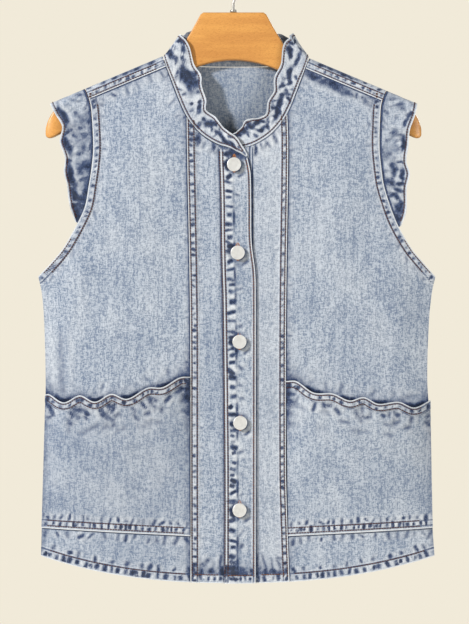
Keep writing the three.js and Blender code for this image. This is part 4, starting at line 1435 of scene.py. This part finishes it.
class VEST_OT_back_panel(PieceOperator):
    """The back panel, which comes over the shoulder ridge to the forward seams"""

    bl_idname = "vest.back_panel"
    bl_label = "Back Panel"

    def build(self, sizes):
        ends = {side: NECK_X - INWARD[side] * NECK_HALF for side in SIDES}
        arms = {side: meet(lambda z, s=side: armhole_x(z, s), RIDGE, INWARD[side] * -175) for side in SIDES}
        shoulder, neck = count_of(75), count_of(150)
        xs = spaced(arms["left"], shoulder, ends["left"], neck, ends["right"], shoulder, arms["right"])
        at_neck = (xs > ends["left"] - 0.01) & (xs < ends["right"] + 0.01)

        def top_z(x):
            inside = (x > ends["left"] - 0.01) & (x < ends["right"] + 0.01)
            return np.where(inside, back_neck_z(x), ridge_z(x) - RIDGE)

        low = [float(side_x(HEM_MIDDLE, side)) for side in SIDES]
        tops = {side: float(top_z(np.float64(arms[side]))) for side in SIDES}
        v_tip = (TIP_Z - float(hem_z(low[0]))) / (tops["left"] - float(hem_z(low[0])))
        vs = spaced(0, count_of(250), v_tip, count_of(170), 1)
        us = (xs - arms["left"]) / (arms["right"] - arms["left"])
        grid = patch(
            across(hem_z, *low),
            across(top_z, arms["left"], arms["right"]),
            along(lambda z: outer_x(z, "left"), float(hem_z(low[0])), tops["left"]),
            along(lambda z: outer_x(z, "right"), float(hem_z(low[1])), tops["right"]),
            us, vs,
        )
        x, z = grid[..., 0], grid[..., 1]
        sheet = [np.stack([x, back_y(x, z), z], -1)]
        sewn = Sewn(x, z)
        sew_back(sewn)
        turns = np.radians(np.arange(80, -91, -10))
        over = [(turn, RIDGE * (1 - math.cos(turn))) for turn in turns]
        over += [(-math.pi / 2, drop) for drop in (10, 11.7, 13.5, SHOULDER_SEAM - SEAM)]
        from_seam = []
        for turn, drop in over:
            at = xs.copy()
            for side in SIDES:
                arm = meet(lambda q: armhole_x(q, side), drop, arms[side])
                end = meet(lambda q: neck_x(q, side), drop, ends[side]) if turn < 0 else ends[side]
                mine = (xs < NECK_X) if side == "left" else (xs >= NECK_X)
                share = np.where(at_neck, 1, (xs - arms[side]) / (ends[side] - arms[side]))
                at = np.where(mine, arm + (end - arm) * share, at)
            row_z = ridge_z(at) - drop
            row_y = front_y(at, row_z) if drop > RIDGE else np.full(at.shape, RIDGE * math.sin(turn))
            sheet.append(np.stack([at, row_y, row_z], -1)[None])
            gone = drop - RIDGE if turn <= -math.pi / 2 + 0.01 else RIDGE * (-turn - math.pi / 2)
            from_seam.append(SHOULDER_SEAM - SEAM - RIDGE - gone)
        points = np.concatenate(sheet)
        from_seam = np.array(from_seam)[:, None] + 0 * xs[None, :]
        felled = Sewn(0 * from_seam + xs[None, :], from_seam)
        edge = line_of(np.array([-190.0, 190.0]), 0.0)
        felled.puckers(edge, 120, 8, 5.4, 3, 2.1, 0.45, 1.3, 0.25, turn=-0.5)
        felled.puckers(edge, 121, 12, 13, 4.5, 2.6, 0.25, 1.0, 0.4)
        near_neck = np.abs(np.abs(xs[None, :] - NECK_X) - 122) / 32
        within = soft((from_seam - 8.5) / 3) * (1 - soft((from_seam - 15) / 4))
        felled.darker(0.75 * np.exp(-(near_neck**2)) * within)
        felled.band(edge, 9, 0.5)
        felled.stitched(edge, *SHOULDER_GROOVES)
        felled.fold(edge)
        whole = Sewn(points[..., 0], points[..., 2])
        for name in FIELDS:
            setattr(whole, name, np.concatenate([getattr(sewn, name), getattr(felled, name)]))
        present = np.ones((points.shape[0] - 1, points.shape[1] - 1), bool)
        present[len(vs) - 1:, shoulder:shoulder + neck] = False
        cloth("back_panel", points[:, ::-1], sizes.cloth, whole.turned(), present[:, ::-1])


def collar_stations():
    at, direction = [], []

    def front_station(x, lift, foot_z):
        z = float(foot_z(x))
        cross = np.array([float(foot_z(x - 0.5) - foot_z(x + 0.5)), 1.0])
        cross /= np.linalg.norm(cross)
        up = COLLAR_LEAN * (1 - float(soft((SHOULDER_TOP - z - RIDGE) / 40)))
        y = float(front_y(x, z)) - COLLAR_PROUD - lift
        way = (cross[0] * (1 - up), 0, cross[1] * (1 - up) + up)
        return (x + cross[0] * EASE, y, z + cross[1] * EASE), way

    def front_lift(side, x):
        if side == "left":
            return (LAP_LIFT - COLLAR_PROUD) * float(soft((x + 45) / 40))
        return (LAP_LIFT + COLLAR_PROUD) * (float(soft((x - 8) / 25)) - 1)

    def shoulder_station(side, turn):
        z = SHOULDER_TOP - RIDGE * (1 - math.cos(turn))
        foot = float(neck_x(z if turn < 0 else SHOULDER_TOP, side))
        x = foot + INWARD[side] * (EASE + BACK_INSET * max(0, math.sin(turn)))
        way = (INWARD[side] * COLLAR_LEAN, 0, COLLAR_STAND)
        return (x, (RIDGE + COLLAR_PROUD) * math.sin(turn), z + EASE), way

    halves = {}
    top = float(np.interp(SHOULDER_TOP - RIDGE, NECK_HEIGHTS, _reach))
    climb = _reach + NECK_HEIGHTS - NECK_BOTTOM
    ends = np.interp([COLLAR_START, top], _reach, climb)
    reaches = np.interp(np.linspace(*ends, 23), climb, _reach)
    for side in SIDES:
        foot_z = placket_top_z if side == "left" else neck_z
        xs = [*COLLAR_ENDS[side], *(NECK_X - INWARD[side] * reaches)]
        halves[side] = [front_station(x, front_lift(side, x), foot_z) for x in xs]
        halves[side] += [shoulder_station(side, math.radians(turn)) for turn in (-60, -30, 0, 30, 60, 90)]
    middle = []
    for reach in np.linspace(12 - NECK_HALF, NECK_HALF - 12, 21):
        x = NECK_X + reach
        z = float(back_neck_z(x))
        lean = -COLLAR_LEAN * math.copysign(abs(reach / NECK_HALF) ** 3, reach)
        middle.append(((x, float(back_y(x, z)) + COLLAR_PROUD, z + EASE), (lean, 0.06, 0.95)))
    for place, way in halves["left"] + middle + halves["right"][::-1]:
        at.append(place)
        direction.append(way)
    return np.array(at), unit(np.array(direction))


def mottled(a, b, size):
    """Small uneven spots that the wash left on gathered cloth."""
    along_it = np.sin(a / size + 1.7 * np.sin(b / (1.8 * size)) + 0.9 * np.sin(a / (3.1 * size)))
    across_it = np.sin(b / (1.25 * size) + 1.3 * np.sin(a / (1.6 * size)))
    return 0.6 * soft(1.5 * along_it * across_it - 0.2)


def blotches(s, seed, long, wide):
    """The strongly dyed folds of a gathered strip."""
    rng = np.random.default_rng(seed)
    at = 3.0
    while at < long:
        broad = float(np.interp(at / long, [0, 0.08, 0.92, 1], [wide * 0.3, wide, wide, wide * 0.3]))
        middle, lean = broad * rng.uniform(0.3, 0.6), math.pi / 2 + rng.normal(0, 0.55)
        half, across_it = broad * rng.uniform(0.25, 0.5), rng.uniform(1.6, 3.2)
        s.trough(at, middle, lean, half, across_it, 0.8 * rng.uniform(0.5, 1), rng.uniform(0.65, 1.25))
        at += rng.uniform(3.5, 9)
    at = 5.0
    while at < long:
        s.trough(at, wide * rng.uniform(0.1, 0.85), rng.uniform(-0.6, 0.6), rng.uniform(5, 11),
                 rng.uniform(1.4, 2.4), 0.3, rng.uniform(0.4, 0.8))
        at += rng.uniform(8, 20)


def strip_threads(kind, outer, normals, column_of, rows_range):
    """A row of stitches along a strip, at a fraction of its columns that may change on the way."""
    path, out = [], []
    for r in rows_range:
        c = column_of(r)
        k = min(int(c), outer.shape[1] - 2)
        f = c - k
        path.append(outer[r, k] * (1 - f) + outer[r, k + 1] * f)
        out.append(normals[r, k] * (1 - f) + normals[r, k + 1] * f)
    stitch(kind, np.array(path), np.array(out))


class VEST_OT_collar(PieceOperator):
    """The frilled stand collar"""

    bl_idname = "vest.collar"
    bl_label = "Collar"

    def build(self, sizes):
        at, direction = collar_stations()
        runs = lengths_along(at)
        long = runs[-1]
        fine = np.linspace(0, long, count_of(long * 1.35))
        at, direction = curve_through(runs, at, fine), unit(curve_through(runs, direction, fine))
        share = fine / long
        phase = 2 * math.pi * COLLAR_WAVES * share
        even = soft(share / 0.06) * soft((1 - share) / 0.06)
        width = column(COLLAR_WIDTH, "at", "width", share)
        normal = unit(np.cross(np.gradient(at, axis=0), direction))
        up = np.linspace(0, 1, 20)
        roll = 0.5 * np.sin(math.pi * up)
        sway = COLLAR_FRILL * (np.sin(phase) * even)[:, None] * up[None] ** 2 + roll
        points = (
            at[:, None]
            + direction[:, None] * (width[:, None] * up[None])[..., None]
            + normal[:, None] * sway[..., None]
        )
        s = Sewn(np.broadcast_to(fine[:, None], points.shape[:2]), width[:, None] * up[None])
        blotches(s, 7, long, 30)
        behind = points[..., 1] > 2
        s.weaken_but(behind)
        s.blots(COLLAR_BLOTS, np.where(behind, 1e4, points[..., 0]), points[..., 2], 0.45)
        s.worn = s.worn + 0.15
        s.darker(mottled(s.a, s.b, 2.4))
        s.edge = width[:, None] * (1 - up[None])
        s.row = np.minimum(np.abs(s.edge - COLLAR_EDGE_ROW), np.abs(s.b - COLLAR_FOOT_ROW))
        s.edge = np.minimum(s.edge, s.b + 0.4)
        s.shade = s.b + 0.8
        s.dye = s.dye * soft(s.edge / 2.4)
        s.relief = s.relief * soft(s.edge / 3) - 0.25 * np.exp(-((s.row / 0.9) ** 2))
        outer, normals = cloth("collar", points, sizes.folded, s)
        last = len(up) - 1
        whole = range(4, len(fine) - 4)
        for share_at in (
            lambda r: last * (1 - COLLAR_EDGE_ROW / max(width[r], 5)),
            lambda r: last * COLLAR_FOOT_ROW / max(width[r], 5),
        ):
            strip_threads("thread", outer, normals, share_at, whole)


class VEST_OT_cap_sleeves(PieceOperator):
    """The ruffled caps over the shoulders"""

    bl_idname = "vest.cap_sleeves"
    bl_label = "Cap Sleeves"

    def build(self, sizes):
        for side in SIDES:
            out = -INWARD[side]
            drops = np.linspace(SLEEVE_END, RIDGE, count_of(230))
            stations = [(drop, None, -1) for drop in drops]
            turns = np.radians(np.arange(-75, 76, 15))
            stations += [(None, turn, math.sin(turn)) for turn in turns]
            stations += [(drop, None, 1) for drop in drops[::-1]]
            share = np.linspace(0, 1, 22)
            grid, widths, foot = [], [], []
            for below, turn, facing in stations:
                drop = RIDGE * (1 - math.cos(turn)) if below is None else below
                x0 = meet(lambda z: armhole_x(z, side), drop, out * 178) + out * EASE
                z0 = float(ridge_z(x0)) - drop
                flat_y = (front_y if facing < 0 else back_y)(x0, z0)
                y0 = float(flat_y) if turn is None else RIDGE * facing
                phase = 2 * math.pi * drop / SLEEVE_PITCH
                wide = float(column(SLEEVE_WIDTH, "drop", side, drop))
                sag = SHOULDER_SLOPE * wide * (1 - float(soft(drop / 70)))
                wave = facing * (0.5 + SLEEVE_FRILL * math.sin(phase) * float(soft(drop / 30)))
                grid.append(np.stack([x0 + out * wide * share, y0 + wave * share**2, z0 - sag * share], -1))
                widths.append(wide)
                foot.append((x0, y0, z0))
            points, widths = np.array(grid), np.array(widths)
            fine = lengths_along(np.array(foot))
            s = Sewn(np.broadcast_to(fine[:, None], points.shape[:2]), widths[:, None] * share[None])
            blotches(s, 17 if side == "left" else 19, fine[-1], 30)
            behind = points[..., 1] > points[:, :1, 1].clip(2)
            s.weaken_but(behind)
            s.blots(SLEEVE_BLOTS, np.where(behind, 1e4, points[..., 0]), points[..., 2])
            s.dye = 0.82 * s.dye
            drops = ridge_z(points[..., 0]) - points[..., 2]
            s.darker((0.26 if side == "left" else 0.05) * soft((drops - 10) / 60))
            s.darker(0.1 * soft(np.sin(points[..., 2] / 8 + 2) * np.sin(points[..., 0] / 6) + 0.4))
            s.darker(0.6 * mottled(s.a, s.b, 2.8))
            s.edge = widths[:, None] * (1 - share[None])
            s.row = np.abs(s.edge - CAP_ROW)
            # Darker towards the foot, and a painted shade line along the foot, which lies under the panel's
            # lapped edge
            s.dye = s.dye * soft(s.edge / 2.6) + 0.5 * np.exp(-s.b / 5)
            s.shade = s.b - 1.1
            s.relief = s.relief * soft(s.edge / 3) * soft(s.b / 3)
            if side == "left":
                points, s = points[:, ::-1], s.turned()
            outer, normals = cloth(f"cap_sleeve_{side}", points, sizes.cloth, s)
            last = len(share) - 1

            def row_at(r):
                c = last * (1 - CAP_ROW / max(widths[r], 6))
                return last - c if side == "left" else c

            strip_threads("thread", outer, normals, row_at, range(3, len(stations) - 3))


class VEST_OT_topstitching(PieceOperator):
    """The rows of topstitching on the panels, pockets, plackets and hem"""

    bl_idname = "vest.topstitching"
    bl_label = "Topstitching"

    def build(self, sizes):
        lift = sizes.folded / MM + SEAM
        for side in SIDES:
            self.panel(side)
            self.shoulder(side)
            self.pocket(side)
        left, right = (cut(LINES["placket", side], PLACKET_ROW_FOOT) for side in SIDES)
        for inset in PLACKET_ROWS:
            stitch_row("thread", offset_line(left, -inset), sew_over_placket, lift=lift)
        stitch_row("rust", offset_line(right, PLACKET_EDGE_ROW), sew_over_placket, lift=lift)
        hem = offset_line(LINES["hem"], HEM_ROW)
        lap = [float(placket_x(HEM_CROSSINGS_Z, side)) for side in SIDES]
        seams = [float(princess_x(HEM_CROSSINGS_Z, side)) for side in SIDES]
        stops = (HEM_ENDS[0], seams[0] - 2, *lap, seams[1] + 2, HEM_ENDS[1])
        kinds = ("thread", "rust", "rust", "rust", "thread")
        sewers = (
            sew_band("left"), sew_centre("left"), sew_over_placket, sew_centre("right"), sew_band("right")
        )
        for kind, sew, start, end in zip(kinds, sewers, stops, stops[1:]):
            proud = lift if sew is sew_over_placket else 0
            stitch_row(kind, cut(hem, start, end, 0), sew, lift=proud)
        stitch_row("thread", cut(hem, *HEM_ENDS, 0), sew_back, face=1)
        thread_mesh("topstitching", "thread", "denim")
        thread_mesh("rust_topstitching", "rust", "denim")

    def panel(self, side):
        princess, into = cut(LINES["princess", side], PRINCESS_ROW_FOOT), INWARD[side]
        for inset in (FELL_ROW, FELL_WIDE[side] - FELL_FREE):
            stitch_row("thread", offset_line(princess, -into * inset), sew_centre(side))
        line = LINES["armhole", side]
        armhole = cut(offset_line(line, -into * ARMHOLE_ROW), TIP_Z, ARMHOLE_ROW_TOP)
        stitch_row("thread", armhole, sew_side_panel(side))
        stitch_row("thread", armhole, sew_back, face=1)
        edge = cut(offset_line(line, -into * ARMHOLE_EDGE_ROW), TIP_Z, ARMHOLE_EDGE_ROW_TOP)
        stitch_row("thread", edge, sew_side_panel(side))

    def shoulder(self, side):
        out = -INWARD[side]
        reach = cut(LINES["shoulder", side], *SHOULDER_ROW_ENDS[side], 0)
        for up in SHOULDER_ROWS:
            stitch_row("thread", reach + [0, up], unsewn, lift=SHOULDER_ROW_LIFT)
        foot_z = ridge_z(np.float64(out * BAR_RIDGE_X)) - SHOULDER_SEAM
        bar_z = foot_z + np.linspace(BAR_LOW, BAR_HIGH, BAR_POINTS)
        for beside in BAR_STEPS:
            bar = line_of(np.full(BAR_POINTS, out * (BAR_X + beside)), bar_z)
            stitch_row("thread", bar, unsewn, lift=BAR_LIFT)

    def pocket(self, side):
        table = MOUTH[side]
        sew = sew_pocket(side)
        mouth_rows = [-inset for inset in MOUTH_ROWS]
        for line, insets in ((LINES["mouth", side], mouth_rows), (LINES["band", side], BAND_ROWS)):
            for inset in insets:
                ends = sorted(-INWARD[side] * reach for reach in POCKET_ROW_ENDS)
                path, normals = on_face(cut(offset_line(line, inset), *ends, 0), -1, 0, sew)
                x, z = path[:, 0], path[:, 2]
                u = np.clip((x - table["x"][0]) / (table["x"][-1] - table["x"][0]), 0, 1)
                foot = band_seam_z(x, side)
                v = np.clip((z - foot) / (column(table, "x", "z", x) - foot), 0, 1)
                path[:, 1] -= POCKET_ROW_LIFT + POCKET_OPEN * (1 - np.abs(2 * u - 1) ** 4) * v**1.3
                stitch("thread", path, normals)


class VEST_OT_buttonholes(PieceOperator):
    """The stitched buttonholes behind the buttons"""

    bl_idname = "vest.buttonholes"
    bl_label = "Buttonholes"

    def build(self, sizes):
        for x, z in BUTTONS:
            turns = np.linspace(0, 2 * math.pi, BUTTONHOLE_STITCHES + 1)[:-1]
            base = float(front_y(x, z)) - sizes.folded / MM - SEAM + 0.35
            ring_x = x + BUTTONHOLE_HALF * np.sin(turns)
            ring_z = z + BUTTONHOLE_UP + BUTTONHOLE_TALL * np.cos(turns)
            middle = np.stack([ring_x, 0 * turns + base, ring_z], -1)
            out = [np.sin(turns) / BUTTONHOLE_HALF, 0 * turns, np.cos(turns) / BUTTONHOLE_TALL]
            out = unit(np.stack(out, -1))
            front = np.tile([0.0, -1.0, 0.0], (len(turns), 1))
            THREADS.setdefault("buttonhole", []).append(
                (middle - out * 1.2, middle + out * 1.5, front, np.full(len(turns), 0.5))
            )
        thread_mesh("buttonholes", "buttonhole", "denim")


class VEST_OT_buttons(PieceOperator):
    """Five shank buttons of matte metal"""

    bl_idname = "vest.buttons"
    bl_label = "Buttons"

    def build(self, sizes):
        for number, (x, z) in enumerate(BUTTONS, 1):
            foot = (float(front_y(x, z)) - sizes.folded / MM - 2 * SEAM) * MM
            deep = (BUTTON_CAP + 0.2) * MM
            middle = (x * MM, foot - BUTTON_SHANK * MM - deep / 2, z * MM)
            bpy.ops.object.select_all(action="DESELECT")
            bpy.ops.mesh.primitive_cylinder_add(
                vertices=48, radius=BUTTON_RADIUS * MM * BUTTON_SEEN, depth=deep,
                location=middle, rotation=(math.pi / 2, 0, 0),
            )
            cap = placed_primitive(f"button_{number}_metal")
            self.shape(cap)
            cap.data.materials.append(material_of("metal"))
            finished(cap, f"button_{number}", slot="button_metal")

    def shape(self, cap):
        """A soft rim, a dished face and a short foot behind it."""
        bpy.ops.object.mode_set(mode="EDIT")
        bpy.ops.mesh.select_mode(type="FACE")
        for way, insets in ((-1, ((0.0016, 0.0003), (0.003, 0.0001))), (1, ((0.0042, 0),))):
            bpy.ops.mesh.select_all(action="DESELECT")
            bpy.ops.object.mode_set(mode="OBJECT")
            for face in cap.data.polygons:
                face.select = face.normal.y * way > 0.9
            bpy.ops.object.mode_set(mode="EDIT")
            for inset, down in insets:
                bpy.ops.mesh.inset(thickness=inset, depth=0)
                if down:
                    bpy.ops.transform.translate(value=(0, -way * down, 0))
            if way > 0:
                bpy.ops.mesh.extrude_region_move(TRANSFORM_OT_translate={"value": (0, BUTTON_SHANK * MM, 0)})
        bpy.ops.object.mode_set(mode="OBJECT")
        bevelled(cap, "soft_rim", 0.0009, 3, 50)


HANGER_TOP = rows("""
reach z
0 -62
12 -62
24 -62
36 -62
39.5 -64.5
49 -82
57 -95
63 -104
72 -112.5
82 -119
90 -121
108 -125.8
""")
HANGER_HALF, HANGER_TIP, HANGER_TIP_Z, HANGER_CLEAR = 5.5, 225, -206, 2.1
TOP_TABLE_END, TOP_TURNS_FROM, FOOT_TURNS_FROM = 108, 188, 212
ARCH_TOP, ARCH_CURVE, ARCH_SLOPE, ARCH_TURN = -119, 0.0042, 0.495, 60
HANGER_CUTS = (
    0, 9, 36, 2, 39.5, 4, 57, 5, 72, 6, TOP_TABLE_END, 6, TOP_TURNS_FROM, 4, FOOT_TURNS_FROM, 4, 220
)
HANGER_TIP_CUTS = (221.5, 223, 224.2, 224.8)
HOOK_WIRE, HOOK_RADIUS, HOOK_DROP, HOOK_TURN = 1.7, 21.7, 20, (-72, 205)
FERRULE_RADIUS, FERRULE_TALL, FERRULE_Z = 0.0042, 0.0032, -0.0601


def hanger_top(reach):
    if reach <= TOP_TABLE_END:
        return float(np.interp(reach, HANGER_TOP["reach"], HANGER_TOP["z"]))
    q = min(max((reach - TOP_TURNS_FROM) / (HANGER_TIP - TOP_TURNS_FROM), 0), 1)
    fall = float(ridge_z(HANGER_TIP)) - HANGER_CLEAR - HANGER_TIP_Z - 2
    return float(ridge_z(reach)) - HANGER_CLEAR - fall * (1 - math.sqrt(1 - q * q))


def hanger_foot(reach):
    arch = ARCH_TOP - ARCH_CURVE * min(reach, ARCH_TURN) ** 2 - ARCH_SLOPE * max(0, reach - ARCH_TURN)
    q = min(max((reach - FOOT_TURNS_FROM) / (HANGER_TIP - FOOT_TURNS_FROM), 0), 1)
    return arch + (HANGER_TIP_Z - 2 - arch) * (1 - math.sqrt(1 - q * q))


class VEST_OT_hanger(PieceOperator):
    """The beech hanger body with its arched underside"""

    bl_idname = "vest.hanger"
    bl_label = "Hanger"

    def build(self, sizes):
        reaches = np.concatenate([spaced(*HANGER_CUTS), HANGER_TIP_CUTS])
        bpy.ops.object.select_all(action="DESELECT")
        bpy.ops.mesh.primitive_cube_add(size=1, location=(0, 0, 0))
        bpy.context.object.scale = (2 * HANGER_TIP * MM, 2 * HANGER_HALF * MM, 0.06)
        body = placed_primitive("hanger_wood")
        bpy.ops.object.mode_set(mode="EDIT")
        for x in np.concatenate([-reaches[:0:-1], reaches]):
            bpy.ops.mesh.select_all(action="SELECT")
            bpy.ops.mesh.bisect(plane_co=(x * MM, 0, 0), plane_no=(1, 0, 0))
        bpy.ops.object.mode_set(mode="OBJECT")
        for vertex in body.data.vertices:
            reach = abs(vertex.co.x) / MM
            gone = max(0, (reach - FOOT_TURNS_FROM) / (HANGER_TIP - FOOT_TURNS_FROM + 1))
            shrink = math.sqrt(max(0.05, 1 - gone**2))
            vertex.co.z = (hanger_top(reach) if vertex.co.z > 0 else hanger_foot(reach)) * MM
            vertex.co.y *= shrink
        body.data.update()
        bevelled(body, "rounded_edges", 0.0042, 5, 60)
        body.data.materials.append(material_of("wood"))
        finished(body, "hanger_body", slot="hanger_wood")


class VEST_OT_hook(PieceOperator):
    """The steel hook and its ferrule"""

    bl_idname = "vest.hook"
    bl_label = "Hook"

    def build(self, sizes):
        angles = np.radians(np.linspace(*HOOK_TURN, 50))
        path = [(0, 0, z) for z in (-61.7, -59, -56, -53, -50)]
        path += [(0.3, 0, -48), (1.6, 0, -45.2), (3.9, 0, -42.6)]
        path += [(HOOK_RADIUS * math.cos(a), 0, HOOK_RADIUS * math.sin(a) - HOOK_DROP) for a in angles]
        data = bpy.data.curves.new("hook_steel", "CURVE")
        data.dimensions = "3D"
        data.bevel_depth = HOOK_WIRE * MM
        data.bevel_resolution = 4
        data.use_fill_caps = True
        spline = data.splines.new("POLY")
        spline.points.add(len(path) - 1)
        for point, place in zip(spline.points, path):
            point.co = (*(c * MM for c in place), 1)
        hook = bpy.data.objects.new("hook_wire", data)
        bpy.context.scene.collection.objects.link(hook)
        only(hook)
        bpy.ops.object.convert(target="MESH")
        hook = bpy.context.object
        hook.data.materials.clear()
        hook.data.materials.append(material_of("steel"))
        finished(hook, "hanger_hook", slot="hook_steel")
        bpy.ops.object.select_all(action="DESELECT")
        bpy.ops.mesh.primitive_cylinder_add(
            vertices=32, radius=FERRULE_RADIUS, depth=FERRULE_TALL, location=(0, 0, FERRULE_Z)
        )
        ferrule = placed_primitive("hook_ferrule")
        bevelled(ferrule, "turned_edge", 0.0008, 3)
        ferrule.data.materials.append(material_of("steel"))
        finished(ferrule, "hanger_ferrule", slot="hook_steel")


class VEST_OT_stage(PieceOperator):
    """A pale floor, soft light and the camera"""

    bl_idname = "vest.stage"
    bl_label = "Stage"

    def build(self, sizes):
        scene = bpy.context.scene
        colours = scene.vest_colours
        bpy.ops.object.select_all(action="DESELECT")
        bpy.ops.mesh.primitive_circle_add(
            vertices=96, radius=FLOOR_RADIUS, fill_type="NGON", location=(0, 0, FLOOR_Z)
        )
        floor = bpy.context.object
        floor.name = "floor"
        n = Nodes("pale_floor")
        floor.data.materials.append(n.finish(tuple(0.8 * c for c in colours.floor), 0.9))
        self.surroundings(scene, colours)
        for lamp in LAMPS:
            self.lamp(*lamp)
        camera = bpy.data.cameras.new("camera")
        camera.lens = CAMERA_LENS
        camera.sensor_width = 36
        holder = bpy.data.objects.new("camera", camera)
        scene.collection.objects.link(holder)
        holder.location = CAMERA_PLACE
        holder.rotation_euler = (math.pi / 2, 0, 0)
        camera.clip_start, camera.clip_end = 0.05, 50
        scene.camera = holder

    def surroundings(self, scene, colours):
        world = bpy.data.worlds.new("pale_room")
        scene.world = world
        world.use_nodes = True
        tree = world.node_tree
        tree.nodes["Background"].inputs["Color"].default_value = (*colours.floor, 1)
        tree.nodes["Background"].inputs["Strength"].default_value = 0.3
        seen = tree.nodes.new("ShaderNodeBackground")
        seen.inputs["Color"].default_value = (*colours.floor, 1)
        mix = tree.nodes.new("ShaderNodeMixShader")
        ray = tree.nodes.new("ShaderNodeLightPath")
        tree.links.new(ray.outputs["Is Camera Ray"], mix.inputs[0])
        tree.links.new(tree.nodes["Background"].outputs[0], mix.inputs[1])
        tree.links.new(seen.outputs[0], mix.inputs[2])
        tree.links.new(mix.outputs[0], tree.nodes["World Output"].inputs["Surface"])
        scene.view_settings.view_transform = "Standard"

    def lamp(self, name, place, size, power):
        light = bpy.data.lights.new(name, "AREA")
        light.size = size
        light.energy = power
        light.color = LAMP_COLOUR
        holder = bpy.data.objects.new(name, light)
        bpy.context.scene.collection.objects.link(holder)
        holder.location = place
        aim = Vector(LAMP_AIM) - Vector(place)
        holder.rotation_euler = aim.to_track_quat("-Z", "Y").to_euler()


class VEST_PT_panel(bpy.types.Panel):
    """The vest's sizes, colours and operators"""

    bl_idname = "VEST_PT_panel"
    bl_label = "Denim Vest"
    bl_space_type = "VIEW_3D"
    bl_region_type = "UI"
    bl_category = "Vest"

    def draw(self, context):
        for group in (context.scene.vest_sizes, context.scene.vest_colours):
            box = self.layout.box()
            for name in group.__annotations__:
                box.prop(group, name)
        for operator in PIECES:
            self.layout.operator(operator.bl_idname)


PIECES = (
    VEST_OT_back_panel,
    VEST_OT_side_panels,
    VEST_OT_centre_panels,
    VEST_OT_plackets,
    VEST_OT_pockets,
    VEST_OT_lower_bands,
    VEST_OT_collar,
    VEST_OT_cap_sleeves,
    VEST_OT_topstitching,
    VEST_OT_buttonholes,
    VEST_OT_buttons,
    VEST_OT_hanger,
    VEST_OT_hook,
    VEST_OT_stage,
)
CLASSES = (VestSizes, VestColours, *PIECES, VEST_PT_panel)


def register():
    for cls in CLASSES:
        bpy.utils.register_class(cls)
    bpy.types.Scene.vest_sizes = bpy.props.PointerProperty(type=VestSizes)
    bpy.types.Scene.vest_colours = bpy.props.PointerProperty(type=VestColours)


def unregister():
    del bpy.types.Scene.vest_colours
    del bpy.types.Scene.vest_sizes
    for cls in reversed(CLASSES):
        bpy.utils.unregister_class(cls)


def main():
    register()
    for operator in PIECES:
        group, name = operator.bl_idname.split(".")
        getattr(getattr(bpy.ops, group), name)()


if __name__ == "__main__":
    main()
